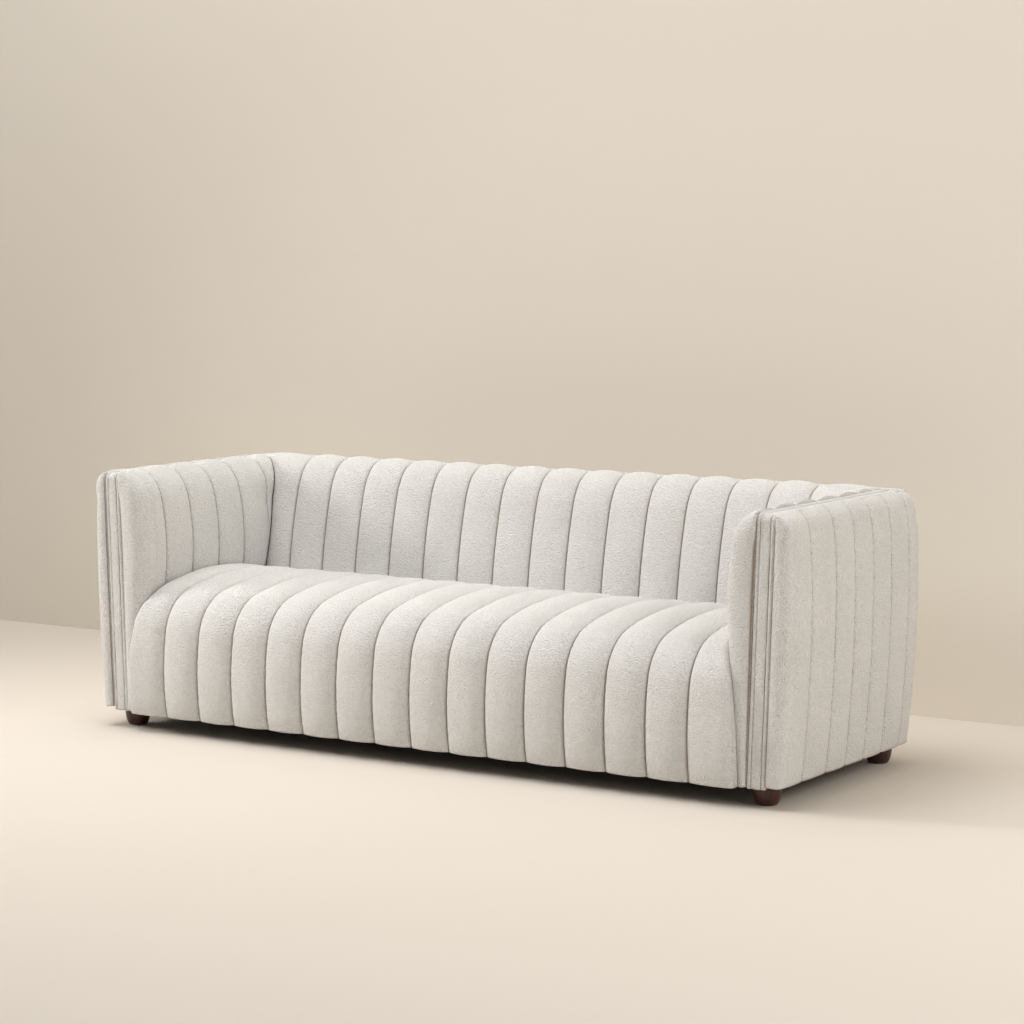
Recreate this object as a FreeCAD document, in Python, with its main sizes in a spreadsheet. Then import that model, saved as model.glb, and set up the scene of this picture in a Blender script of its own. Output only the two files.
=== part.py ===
import FreeCAD, Part
import math
import os
import Sketcher
from FreeCAD import Placement, Rotation, Vector

# Channel-tufted tuxedo sofa: tight seat, back and arms of one height, four turned feet.
# X runs along the width, the front looks to -Y and Z is up.
# The origin is under the middle of the sofa, on the floor.

os.makedirs("parts", exist_ok=True)
doc = FreeCAD.newDocument("ChannelSofa")
sheet = doc.addObject("Spreadsheet::Sheet", "Sizes")

# Driving dimensions, in millimetres and degrees
dimensions = [
    ("overallDepth", 840),
    ("channelPitch", 120.3),
    ("seatChannels", 16),
    ("channelSquareness", 2.6),
    ("padGap", 1),
    ("fitGap", 0.3),
    ("padThinnest", 8),
    ("footHeight", 50),
    ("footTopRadius", 35),
    ("footFloorRadius", 24),
    ("footX", 1020),
    ("footFrontY", -309),
    ("footRearY", 330),
    ("boltRadius", 4),
    ("boltHoleRadius", 4.3),
    ("boltLength", 60),
    ("armFaceY", -379),
    ("armFootX", 1022.5),
    ("armSplay", 1.75),
    ("armTopZ", 735),
    ("backCentreY", 343.6),
    ("stripWidth", 51),
    ("stripPanel", 27),
    ("stripThickness", 8),
    ("stripCornerRadius", 18),
    ("stripTopDrop", 4),
    ("stripFit", 0.4),
    ("pipingRadius", 6),
    ("seatCrown", 16),
    ("seatPadDepth", 60),
    ("seatFaceTilt", 10),
    ("seatFaceRadius", 704),
    ("seatFaceTurn", 20),
    ("seatNoseRadius", 135),
    ("seatNoseTurn", 65.5),
    ("seatTopRadius", 876),
    ("seatTopTurn", 31.2),
    ("seatSideDrop", 4),
    ("backCrown", 12),
    ("backPadDepth", 48),
    ("backTilt", -5.5),
    ("backFoamFoot", 370),
    ("backFoot", 30),
    ("backFaceRadius", 1400),
    ("backFaceTurn", 10.5),
    ("backShoulderRadius", 180),
    ("backShoulderTurn", 19),
    ("backRollRadius", 81),
    ("backRollTurn", 55),
    ("backRollRise", 2),
    ("backSideChannel", 80),
    ("backSideTuck", 100),
    ("backFoamSide", 40),
    ("armCrown", 9),
    ("armFirstSeam", 97),
    ("armSeamPitch", 117.7),
    ("armFrontRound", 50),
    ("armFrontSwell", 8),
    ("armFootPad", 31),
    ("armPadTilt", 6.6),
    ("armPadLower", 390.6),
    ("armFaceRadius", 640),
    ("armFaceTurn", 13),
    ("armShoulderRadius", 120),
    ("armShoulderTurn", 20),
    ("armRollRadius", 94),
    ("armRollTurn", 45),
    ("armFoamThickness", 22),
    ("armFoamInset", 12),
    ("armFoamRearGap", 8),
    ("armFoamFoot", 10),
    ("armFoamHead", 50),
    ("outerCrown", 8),
    ("outerFirstSeam", 123),
    ("outerSecondSeam", 257),
    ("outerSeamPitch", 107),
    ("outerFrontRound", 30),
    ("outerFrontSwell", 6),
    ("outerRearDrop", 5),
    ("outerTopDrop", 9),
    ("backCornerRound", 45),
    ("backLeanShare", 0.65),
    ("outerTilt", 6),
    ("outerLowerRadius", 4213),
    ("outerUpperRadius", 2035),
    ("outerUpperTurn", 4),
    ("outerShoulderRadius", 400),
    ("outerShoulderTurn", 8),
    ("outerRollRadius", 58),
    ("outerRollTurn", 48),
    ("frameBottom", 50),
    ("frameThickness", 45),
    ("frameInset", 18),
    ("baseRailHeight", 50),
    ("postWidth", 60),
    ("topRailHeight", 34),
    ("tackRailHeight", 50),
    ("tackRailLevel", 350),
    ("backPostThickness", 25),
    ("railThickness", 25),
    ("rearRailGap", 5),
    ("railHeight", 258),
    ("crossRailHeight", 190),
    ("crossRailX", 300),
    ("seatHalfWidth", 925),
    ("cornerBlockSide", 80),
    ("cornerBlockHeight", 60),
    ("springCount", 9),
    ("springSpacing", 190),
    ("springWaves", 7),
    ("springWidth", 46),
    ("springWire", 4),
    ("springSeat", 14),
    ("clipReach", 8),
    ("clipLip", 3),
    ("clipHeel", 2.3),
    ("seatFoamGap", 4),
    ("insulatorInset", 12),
    ("insulatorRearGap", 20),
    ("insulatorGap", 0.2),
    ("insulatorThickness", 3.5),
    ("webWidth", 50),
    ("webThickness", 2),
    ("webGap", 0.1),
    ("webFootTuck", 20),
    ("webHeadTuck", 15),
    ("armWebFirst", 150),
    ("armWebPitch", 180),
    ("armWebs", 3),
    ("backWebPitch", 200),
    ("backWebs", 9),
    ("dustCoverThickness", 1),
    ("dustCoverInset", 2),
]
for row, (alias, amount) in enumerate(dimensions, start=1):
    sheet.set("A%d" % row, alias)
    sheet.set("B%d" % row, str(amount))
    sheet.setAlias("B%d" % row, alias)
doc.recompute()


def size(alias):
    return float(sheet.get(alias))


def worth(text):
    # the number that an expression on the sheet comes to
    return float(sheet.evalExpression(str(text)))


# Places that follow from the driving dimensions
springTop = size("frameBottom") + size("railHeight") + size("springWire")
pitch = size("channelPitch")
floorZ = size("footHeight")
armFaceY = size("armFaceY")
splay = math.tan(math.radians(size("armSplay")))
halfStrip = size("stripWidth") / 2
backInnerY = size("backCentreY") - halfStrip
backOuterY = size("backCentreY") + halfStrip
topZ = size("armTopZ")
fitGap = size("fitGap")
clearOfAll = 1200  # further out than any piece, for trimming blocks
seamCount = int(size("seatChannels")) - 1
seamX = [pitch * (k - (seamCount - 1) / 2) for k in range(seamCount)]


def armLineX(z, across=0):
    # the splayed middle line of an arm, moved outwards by across
    return size("armFootX") + across + splay * (z - floorZ)


pieces = []


def keep(piece, label):
    piece.Label = label
    pieces.append(piece)
    return piece


def box(label, length, width, height, x, y, z):
    # a square-cut piece whose lowest corner is at x, y, z
    piece = keep(doc.addObject("Part::Box", label), label)
    for name, text in zip(("Length", "Width", "Height"), (length, width, height)):
        piece.setExpression(name, text)
    for name, text in zip("xyz", (x, y, z)):
        piece.setExpression("Placement.Base." + name, text)
    return piece


def formed(label, shape):
    piece = keep(doc.addObject("Part::Feature", label), label)
    piece.Shape = shape
    piece.Placement = Placement()
    return piece


def newBody(label):
    return keep(doc.addObject("PartDesign::Body", label), label)


def sketchOn(body, role, name):
    planes = [item for item in body.Origin.OriginFeatures if item.Role == role]
    sketch = body.newObject("Sketcher::SketchObject", name)
    sketch.AttachmentSupport = (planes[0], "")
    sketch.MapMode = "FlatFace"
    return sketch


def pin(sketch, kind, edge, end, name, text):
    # holds one coordinate of a point to an expression
    if abs(worth(text)) < 1e-9:
        axis = -2 if kind == "DistanceX" else -1
        sketch.addConstraint(Sketcher.Constraint("PointOnObject", edge, end, axis))
        return
    number = sketch.addConstraint(Sketcher.Constraint(kind, -1, 1, edge, end, worth(text)))
    sketch.renameConstraint(number, name)
    sketch.setExpression("Constraints." + name, text)


def outline(sketch, corners, closed=True):
    # straight lines through corners that are expressions on the sheet
    spots = [Vector(worth(across), worth(up), 0) for across, up in corners]
    count = len(spots)
    for n in range(count if closed else count - 1):
        sketch.addGeometry(Part.LineSegment(spots[n], spots[(n + 1) % count]))
    for n in range(count if closed else count - 2):
        sketch.addConstraint(Sketcher.Constraint("Coincident", n, 2, (n + 1) % count, 1))
    for n, (across, up) in enumerate(corners):
        edge, end = (n, 1) if closed or n < count - 1 else (n - 1, 2)
        pin(sketch, "DistanceX", edge, end, "across%d" % n, across)
        pin(sketch, "DistanceY", edge, end, "up%d" % n, up)
    return sketch


# Padded channels

def chain(spot, runs):
    # spots along straight runs and clockwise arcs, each as (u, v, heading)
    u, v, heading = spot
    spots = [spot]
    for radius, amount, steps in runs:
        for _ in range(steps):
            if radius == 0:
                u += amount / steps * math.cos(math.radians(heading))
                v += amount / steps * math.sin(math.radians(heading))
            else:
                turned = heading - amount / steps
                u += radius * (math.sin(math.radians(heading)) - math.sin(math.radians(turned)))
                v += radius * (math.cos(math.radians(turned)) - math.cos(math.radians(heading)))
                heading = turned
            spots.append((u, v, heading))
    return spots


def chainTo(end, heading, runs):
    # the same chain, set so that it ends at a given place
    spots = chain((0, 0, heading), runs)
    du = end[0] - spots[-1][0]
    dv = end[1] - spots[-1][1]
    return [(u + du, v + dv, turned) for u, v, turned in spots]


def moved(spot, offset):
    # a spot moved out along its normal
    u, v, heading = spot
    turn = math.radians(heading)
    return (u - offset * math.sin(turn), v + offset * math.cos(turn))


def levelAt(spots, v):
    # how far across a chain is at height v
    for low, high in zip(spots[:-1], spots[1:]):
        if low[1] <= v <= high[1]:
            return low[0] + (high[0] - low[0]) * (v - low[1]) / (high[1] - low[1])
    return spots[-1][0] if v > spots[-1][1] else spots[0][0]


fineSteps = [0.1, 0.32, 0.68, 0.9, 1]
plainSteps = [0.14, 0.5, 0.86, 1]
squareness = size("channelSquareness")
frameGap = halfStrip + fitGap


def channel(start, end, crown, foot=0, steps=fineSteps):
    # the points over one channel, full in the middle and steep at its seams
    points = []
    for share in steps:
        swell = 1 - abs(2 * share - 1) ** squareness
        points.append((start + share * (end - start), crown * swell + foot * share))
    return points


def channels(seams, crown, steps=fineSteps):
    points = [(seams[0], 0)]
    for start, end in zip(seams[:-1], seams[1:]):
        points += channel(start, end, crown, 0, steps)
    return points


def rounded(centre, radius, start, end, steps):
    # points round part of a circle, in degrees from the +across direction towards the outside
    points = []
    for step in range(steps + 1):
        turn = math.radians(start + (end - start) * step / steps)
        points.append((centre[0] + radius * math.cos(turn), centre[1] + radius * math.sin(turn)))
    return points


def mirrored(points):
    return [(-across, offset) for across, offset in reversed(points)]


def band(spot, points, depth, lay):
    # one cross-section of a pad, from its padded face round to its flat back
    face = [lay(across, *moved(spot, offset)) for across, offset in points]
    back = [lay(across, *moved(spot, -depth)) for across in (points[-1][0], points[0][0])]
    ring = face + back
    ring = [point for n, point in enumerate(ring) if point.distanceToPoint(ring[n - 1]) > 0.01]
    return Part.makePolygon(ring + ring[:1])


def pad(wires):
    # one closed pad, lofted through its cross-sections
    return Part.makeLoft(wires, True, True)


def fading(number, count, start, end):
    # the crown's share at one section, drawn in towards both ends of the channels
    if number == 0:
        return start
    return end if number == count - 1 else 1


def prism(corners, lay, along):
    # a flat-sided block from a side view
    points = [lay(u, v) for u, v in corners]
    return Part.Face(Part.makePolygon(points + points[:1])).extrude(along)


def trimmed(shape, tools):
    # what is left of a pad after its trimming, as one solid
    return max(shape.cut(tools).Solids, key=lambda solid: solid.Volume)


def seatSpots():
    tilt = size("seatFaceTilt")
    bulge = size("seatFaceRadius") * (1 - math.cos(math.radians(tilt)))
    frontY = -size("overallDepth") / 2 + size("seatCrown") + bulge
    spots = chain((frontY, floorZ, 90 + tilt), [
        (size("seatFaceRadius"), size("seatFaceTurn"), 2),
        (size("seatNoseRadius"), size("seatNoseTurn"), 5),
        (size("seatTopRadius"), size("seatTopTurn"), 4),
    ])
    # the lower edge is cut level
    return [spots[0][:2] + (90,)] + spots[1:]


def seatPad():
    spots = seatSpots()
    lean = math.tan(math.radians(size("armPadTilt")))
    last = seamX[-1]
    wires = []
    for number, spot in enumerate(spots):
        end = armLineX(floorZ, -halfStrip) - size("armFootPad") - size("seatSideDrop")
        end -= lean * (spot[1] - floorZ)
        crown = size("seatCrown") * fading(number, len(spots), 0.4, 0.6)
        side = channel(last, end, crown * 0.8, -size("seatSideDrop"))
        points = mirrored(side) + channels(seamX, crown) + side
        wires.append(band(spot, points, size("seatPadDepth"), lambda w, u, v: Vector(w, u, v)))
    return trimmed(pad(wires), [valley(1)])


def valley(way):
    # a block on one side of the sloping plane in which the seat and the back meet
    rear = seatSpots()[-1]
    turn = math.radians((180 + rear[2] + 90 + size("backTilt")) / 2)
    du, dv = (size("seatTopRadius") / 3 * part(turn) for part in (math.cos, math.sin))
    shift = -fitGap * way
    near = (rear[0] + du + shift, rear[1] + dv)
    far = (rear[0] - du + shift, rear[1] - dv)
    wide = size("seatTopRadius") / 2 * way
    corners = [near, far, (far[0] + wide, far[1] + wide / 2), (near[0] + wide, near[1] + wide / 2)]
    return prism(corners, lambda u, v: Vector(-clearOfAll, u, v), Vector(2 * clearOfAll, 0, 0))


def armSpots():
    tilt = size("armPadTilt")
    return chainTo((armLineX(topZ, -frameGap - 2 * size("padGap")), topZ), 90 + tilt, [
        (0, size("armPadLower"), 1),
        (size("armFaceRadius"), tilt, 1),
        (size("armFaceRadius"), size("armFaceTurn"), 2),
        (size("armShoulderRadius"), size("armShoulderTurn"), 1),
        (size("armRollRadius"), size("armRollTurn"), 3),
    ])


def frontEdge(depth, swell, radius):
    # the rounded front edge of an arm pad, from the boxing strip's seam to its flat face
    bulge = swell * min(1, depth / 40)
    turn = min(radius, 0.6 * depth)
    points = [(armFaceY, -depth), (armFaceY - 0.8 * bulge, -(depth + turn) / 2)]
    return points + rounded((armFaceY - bulge + turn, -turn), turn, 180, 90, 3)


def padReach(spot, gap):
    # how deep an arm pad is along its normal, down to the frame
    return max(size("padThinnest"), gap / max(0.3, math.sin(math.radians(spot[2]))))


def innerArmPad(side, foam):
    seams = [armFaceY + size("armFirstSeam") + n * size("armSeamPitch") for n in range(5)]
    spots = armSpots()
    wires = []
    for number, spot in enumerate(spots):
        depth = padReach(spot, armLineX(spot[1], -frameGap) - spot[0])
        crown = size("armCrown") * fading(number, len(spots), 0.2, 0.5)
        points = frontEdge(depth, size("armFrontSwell"), size("armFrontRound"))
        points += channel(points[-1][0], seams[0], crown * 0.6)
        points += channels(seams, crown)[1:] + [(backInnerY - size("padGap"), 0)]
        wires.append(band(spot, points, depth, lambda w, u, v: Vector(side * u, w, v)))
    return trimmed(pad(wires), [foam, framePlane(side, -1)])


def framePlane(side, way):
    # a block from the face of an arm's frame onwards, to square the hidden side of a pad
    low, high = floorZ - halfStrip, topZ + halfStrip
    near, far = frameGap * way, (frameGap - size("frameThickness")) * way
    corners = [(armLineX(low, near), low), (armLineX(low, far), low),
               (armLineX(high, far), high), (armLineX(high, near), high)]
    return prism(corners, lambda u, v: Vector(side * u, 2 * armFaceY, v), Vector(0, clearOfAll, 0))


def armFoam(side):
    # the foam board on the inside of an arm's frame
    foam = size("armFoamThickness")
    low, high = floorZ + size("armFoamFoot"), topZ - size("armFoamHead")
    corners = [(-halfStrip - foam, low), (-halfStrip, low), (-halfStrip, high), (-halfStrip - foam, high)]
    corners = [(armLineX(v, across), v) for across, v in corners]
    front = armFaceY + size("armFoamInset")
    along = Vector(0, backInnerY - size("armFoamRearGap") - front, 0)
    return prism(corners, lambda u, v: Vector(side * u, front, v), along)


def backSpots():
    return chainTo((backInnerY - size("padGap") / 2, topZ + size("backRollRise")), 90 + size("backTilt"), [
        (0, size("backFoot"), 1),
        (size("backFaceRadius"), size("backFaceTurn"), 2),
        (size("backShoulderRadius"), size("backShoulderTurn"), 1),
        (size("backRollRadius"), size("backRollTurn"), 3),
    ])


def backPad(armPads):
    spots = backSpots()
    last = seamX[-1]
    wires = []
    for number, spot in enumerate(spots):
        crown = size("backCrown") * fading(number, len(spots), 0.1, 0.4)
        end = last + size("backSideChannel")
        side = channel(last, end, crown * 0.6) + [(end + size("backSideTuck"), -size("padGap"))]
        points = mirrored(side) + channels(seamX, crown) + side
        wires.append(band(spot, points, size("backPadDepth"), lambda w, u, v: Vector(w, u, v)))
    gap = size("padGap")
    arm = [moved(spot, gap) for spot in armSpots()]
    tools = armPads + [valley(-1)]
    for side in (-1, 1):
        corners = arm + [(clearOfAll, arm[-1][1]), (clearOfAll, arm[0][1])]
        tools.append(prism(corners, lambda u, v: Vector(side * u, 0, v), Vector(0, clearOfAll, 0)))
    return trimmed(pad(wires), tools)


def innerLine(spots, depth, above):
    # the points of a pad's hidden side that lie above a height
    points = [moved(spot, -depth) for spot in spots]
    return [point for point in points if point[1] > above]


def backCore():
    # the foam wedge between the channelled cover and the back frame
    low = floorZ + size("backFoamFoot")
    points = innerLine(backSpots(), size("backPadDepth") + fitGap, low)
    rear = backInnerY - size("padGap") / 2
    corners = [(rear, low), (points[0][0] - 2, low)] + points[:-2] + [(rear, points[-3][1])]
    half = seamX[-1] + size("backFoamSide")
    return prism(corners, lambda u, v: Vector(-half, u, v), Vector(2 * half, 0, 0))


def seatCore():
    # the seat's foam block, shaped to the hidden side of its cover
    low = springTop + size("seatFoamGap")
    points = innerLine(seatSpots(), size("seatPadDepth") + fitGap, low)
    corners = [(points[0][0], low)] + points + [(points[-1][0], low)]
    half = size("seatHalfWidth") - size("insulatorInset")
    block = prism(corners, lambda u, v: Vector(-half, u, v), Vector(2 * half, 0, 0))
    return trimmed(block, [valley(1)])


def outerSpots(end, foot):
    # the outside face, drawn in at its foot; u is measured towards the middle of the sofa
    return chainTo((-end, topZ - size("outerTopDrop")), 90 + size("outerTilt") * foot, [
        (size("outerLowerRadius") / foot, size("outerTilt") * foot, 2),
        (size("outerUpperRadius"), size("outerUpperTurn"), 1),
        (size("outerShoulderRadius"), size("outerShoulderTurn"), 1),
        (size("outerRollRadius"), size("outerRollTurn"), 3),
    ])


def outerArmSpots():
    return outerSpots(armLineX(topZ - size("outerTopDrop"), frameGap + size("padGap")), 1)


def outerArmPad(side):
    first = armFaceY + size("outerFirstSeam")
    second = armFaceY + size("outerSecondSeam")
    seams = [first] + [second + n * size("outerSeamPitch") for n in range(5)]
    spots = outerArmSpots()
    wires = []
    for number, spot in enumerate(spots):
        depth = padReach(spot, -spot[0] - armLineX(spot[1], frameGap))
        crown = size("outerCrown") * fading(number, len(spots), 0.3, 0.4)
        points = frontEdge(depth, size("outerFrontSwell"), size("outerFrontRound"))
        points += channel(points[-1][0], seams[0], crown, 0, plainSteps)
        points += channels(seams, crown, plainSteps)[1:]
        points += channel(seams[-1], backOuterY, crown * 0.8, -size("outerRearDrop"), plainSteps)
        wires.append(band(spot, points, depth, lambda w, u, v: Vector(-side * u, w, v)))
    return trimmed(pad(wires), [framePlane(side, 1)])


def outerBackPad():
    seams = [seamX[0] - pitch] + seamX + [seamX[-1] + pitch]
    arm = outerArmSpots()
    frameY = backOuterY + fitGap
    spots = outerSpots(frameY + size("padGap"), size("backLeanShare"))
    wires = []
    for number, spot in enumerate(spots):
        depth = padReach(spot, -spot[0] - frameY)
        end = -levelAt(arm, spot[1]) - size("outerRearDrop")
        turn = size("backCornerRound")
        crown = size("outerCrown") * fading(number, len(spots), 0.3, 0.4)
        side = channel(seams[-1], end - turn, crown * 0.5, 0, plainSteps)
        corner = rounded((0, 0), 1, 90, 0, 3)[1:]
        side += [(end - turn + turn * across, depth * (up - 1)) for across, up in corner]
        points = mirrored(side) + channels(seams, crown, plainSteps) + side
        wires.append(band(spot, points, depth, lambda w, u, v: Vector(w, -u, v)))
    inside = Part.makeBox(2 * clearOfAll, frameY, clearOfAll, Vector(-clearOfAll, 0, 0))
    return trimmed(pad(wires), [inside])


# Upholstery

formed("seat_channel_cover", seatPad())
formed("seat_foam_core", seatCore())
formed("back_foam_core", backCore())
armPads = []
for side, name in ((-1, "left"), (1, "right")):
    foam = armFoam(side)
    armPads.append(innerArmPad(side, foam))
    formed(name + "_arm_foam", foam)
    formed(name + "_inner_arm_channels", armPads[-1])
    formed(name + "_outer_arm_channels", outerArmPad(side))
formed("back_channel_cover", backPad(armPads))
formed("outer_back_channels", outerBackPad())


# Boxing strips and piping

cordSides = 12


def armX(side, across, z):
    # an expression for the splayed line of an arm at height z
    lean = "tan(Sizes.armSplay * 1 deg)"
    return "%d * (Sizes.armFootX + %s + %s * (%s - Sizes.footHeight))" % (side, across, lean, z)


def leaning(body, side, across, y):
    # sets a body on the foot of an arm's splayed line
    body.setExpression("Placement.Base.x", armX(side, across, "Sizes.footHeight"))
    body.setExpression("Placement.Base.y", y)
    body.setExpression("Placement.Base.z", "Sizes.footHeight")
    body.Placement.Rotation = Rotation(Vector(0, 1, 0), side * size("armSplay"))


def roundedEdges(body, feature, spots, radius):
    # fillets the edges that run along X through given (y, z) spots
    names = []
    for number, edge in enumerate(feature.Shape.Edges, start=1):
        middle = edge.CenterOfMass
        if edge.BoundBox.XLength > 5 and any(
                abs(middle.y - y) < 0.1 and abs(middle.z - z) < 0.1 for y, z in spots):
            names.append("Edge%d" % number)
    fillet = body.newObject("PartDesign::Fillet", "Rounding")
    fillet.Base = (feature, names)
    fillet.setExpression("Radius", radius)
    return fillet


def armStrip(side, label):
    # the flat panel between the pipings: up the front of an arm and back along its top
    body = newBody(label)
    sketch = sketchOn(body, "YZ_Plane", "SideView")
    thick = "Sizes.stripThickness"
    top = "Sizes.armTopZ - Sizes.footHeight - Sizes.stripTopDrop"
    rear = "Sizes.backCentreY + Sizes.stripPanel / 2 - Sizes.armFaceY"
    outline(sketch, [
        ("0", "0"), (thick, "0"), (thick, top + " - " + thick),
        (rear, top + " - " + thick), (rear, top), ("0", top),
    ])
    pad = body.newObject("PartDesign::Pad", "Panel")
    pad.Profile = sketch
    pad.setExpression("Length", "Sizes.stripPanel - Sizes.stripFit")
    pad.SideType = "Symmetric"
    doc.recompute()
    roundedEdges(body, pad, [(0, worth(top))], "Sizes.stripCornerRadius")
    leaning(body, side, "0", "Sizes.armFaceY")


def cordSection(radius):
    # a cord's section, as many-sided as its faces need to be
    corners = []
    for number in range(cordSides):
        turn = 360 / cordSides * (number + 0.5)
        corners.append(("%s * cos(%g deg)" % (radius, turn), "%s * (1 + sin(%g deg))" % (radius, turn)))
    return corners


def armPiping(side, across, rear, label):
    # one piping cord of an arm, bent over the top front corner
    body = newBody(label)
    path = sketchOn(body, "YZ_Plane", "Route")
    radius = "Sizes.pipingRadius"
    bend = "Sizes.stripCornerRadius"
    top = "Sizes.armTopZ - Sizes.footHeight - " + radius
    inset, bendValue, topValue, rearValue = (worth(text) for text in (radius, bend, top, rear))
    corner = Vector(inset + bendValue, topValue - bendValue, 0)
    path.addGeometry(Part.LineSegment(Vector(inset, 0, 0), Vector(inset, corner.y, 0)))
    circle = Part.Circle(corner, Vector(0, 0, 1), bendValue)
    path.addGeometry(Part.ArcOfCircle(circle, math.pi / 2, math.pi))
    path.addGeometry(Part.LineSegment(Vector(corner.x, topValue, 0), Vector(rearValue, topValue, 0)))
    path.addConstraint(Sketcher.Constraint("Tangent", 0, 2, 1, 2))
    path.addConstraint(Sketcher.Constraint("Tangent", 1, 1, 2, 1))
    path.addConstraint(Sketcher.Constraint("Vertical", 0))
    path.addConstraint(Sketcher.Constraint("Horizontal", 2))
    pin(path, "DistanceX", 0, 1, "inset", radius)
    pin(path, "DistanceY", 0, 1, "foot", "0")
    pin(path, "DistanceX", 2, 2, "rear", rear)
    pin(path, "DistanceY", 2, 2, "top", top)
    bendConstraint = path.addConstraint(Sketcher.Constraint("Radius", 1, bendValue))
    path.renameConstraint(bendConstraint, "bend")
    path.setExpression("Constraints.bend", bend)
    section = sketchOn(body, "XY_Plane", "Section")
    outline(section, cordSection(radius))
    doc.recompute()
    cord = body.newObject("PartDesign::AdditivePipe", "Cord")
    cord.Profile = section
    cord.Spine = (path, ["Edge1", "Edge2", "Edge3"])
    leaning(body, side, across, "Sizes.armFaceY")


def backPiping(across, reach, label):
    # one straight piping cord along the top of the back
    piece = keep(doc.addObject("Part::Prism", label), label)
    rise = "tan(Sizes.armSplay * 1 deg) * (Sizes.armTopZ - Sizes.footHeight)"
    half = "(Sizes.armFootX + %s + %s)" % (rise, reach)
    piece.Polygon = cordSides
    piece.setExpression("Circumradius", "Sizes.pipingRadius")
    piece.setExpression("Height", "2 * " + half)
    piece.setExpression("Placement.Base.x", "-" + half)
    piece.setExpression("Placement.Base.y", "Sizes.backCentreY + " + across)
    piece.setExpression("Placement.Base.z", "Sizes.armTopZ - Sizes.pipingRadius")
    piece.Placement.Rotation = Rotation(Vector(0, 1, 0), 90)


cordLine = "(Sizes.stripPanel / 2 + Sizes.pipingRadius)"
stripReach = "(Sizes.stripPanel / 2 + 2 * Sizes.pipingRadius)"
rearEdge = "Sizes.backCentreY - Sizes.armFaceY"
for side, name in ((-1, "left"), (1, "right")):
    armStrip(side, name + "_arm_strip")
    armPiping(side, "-" + cordLine, rearEdge + " - Sizes.stripPanel / 2", name + "_arm_inner_piping")
    armPiping(side, cordLine, rearEdge + " + " + stripReach, name + "_arm_outer_piping")
backPiping("-" + cordLine, "-" + stripReach + " - Sizes.fitGap", "back_inner_piping")
backPiping(cordLine, "Sizes.stripPanel / 2 - Sizes.fitGap", "back_outer_piping")
stripTop = "(Sizes.armTopZ - Sizes.stripTopDrop)"
stripWide = "(Sizes.stripPanel - Sizes.stripFit)"
topHalf = "(" + armX(1, "0", stripTop) + " - Sizes.stripPanel / 2 - Sizes.padGap / 2)"
box("back_top_strip", "2 * " + topHalf, stripWide, "Sizes.stripThickness",
    "-" + topHalf, "Sizes.backCentreY - " + stripWide + " / 2", stripTop + " - Sizes.stripThickness")


# Hardwood frame

def armBar(label, side, low, high, start, length):
    # a frame member cut to the splay of an arm
    body = newBody(label)
    sketch = sketchOn(body, "XZ_Plane", "EndView")
    half = "Sizes.frameThickness / 2"
    outline(sketch, [
        (armX(side, "-" + half, low), low), (armX(side, half, low), low),
        (armX(side, half, high), high), (armX(side, "-" + half, high), high),
    ])
    pad = body.newObject("PartDesign::Pad", "Bar")
    pad.Profile = sketch
    pad.Reversed = True
    pad.setExpression("Length", length)
    body.setExpression("Placement.Base.y", start)
    return body


def baseRail(label, side):
    # the rail under an arm, bored for the two feet's hanger bolts
    body = armBar(label, side, "Sizes.frameBottom", postFoot, frontPost, railLength)
    holes = sketchOn(body, "XY_Plane", "BoltHoles")
    for number, y in enumerate(("Sizes.footFrontY", "Sizes.footRearY")):
        along = "%s - (%s)" % (y, frontPost)
        centre = Vector(side * size("footX"), worth(along), 0)
        holes.addGeometry(Part.Circle(centre, Vector(0, 0, 1), size("boltHoleRadius")))
        pin(holes, "DistanceX", number, 3, "holeAcross%d" % number, "%d * Sizes.footX" % side)
        pin(holes, "DistanceY", number, 3, "holeAlong%d" % number, along)
        sizing = holes.addConstraint(Sketcher.Constraint("Radius", number, size("boltHoleRadius")))
        holes.renameConstraint(sizing, "bore%d" % number)
        holes.setExpression("Constraints.bore%d" % number, "Sizes.boltHoleRadius")
    doc.recompute()
    bores = body.newObject("PartDesign::Pocket", "Bores")
    bores.Profile = holes
    bores.Reversed = True
    bores.setExpression("Length", "Sizes.frameBottom + Sizes.boltLength / 2")


postFoot = "(Sizes.frameBottom + Sizes.baseRailHeight)"
railTop = "(" + stripTop + " - Sizes.stripThickness - 2 * Sizes.padGap)"
railFoot = "(" + railTop + " - Sizes.topRailHeight)"
frontPost = "(Sizes.armFaceY + Sizes.frameInset)"
rearPost = "(Sizes.backCentreY + Sizes.frameThickness / 2 - Sizes.postWidth)"
tackTop = "(Sizes.tackRailLevel + Sizes.tackRailHeight)"
railLength = "(" + rearPost + " + Sizes.postWidth - " + frontPost + ")"
for side, name in ((-1, "left"), (1, "right")):
    baseRail(name + "_arm_base_rail", side)
    armBar(name + "_arm_front_post", side, postFoot, railFoot, frontPost, "Sizes.postWidth")
    armBar(name + "_arm_rear_post", side, postFoot, railFoot, rearPost, "Sizes.postWidth")
    armBar(name + "_arm_top_rail", side, railFoot, railTop, frontPost, railLength)
    armBar(name + "_arm_tack_rail", side, "Sizes.tackRailLevel", tackTop,
           frontPost + " + Sizes.postWidth", railLength + " - 2 * Sizes.postWidth")

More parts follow.
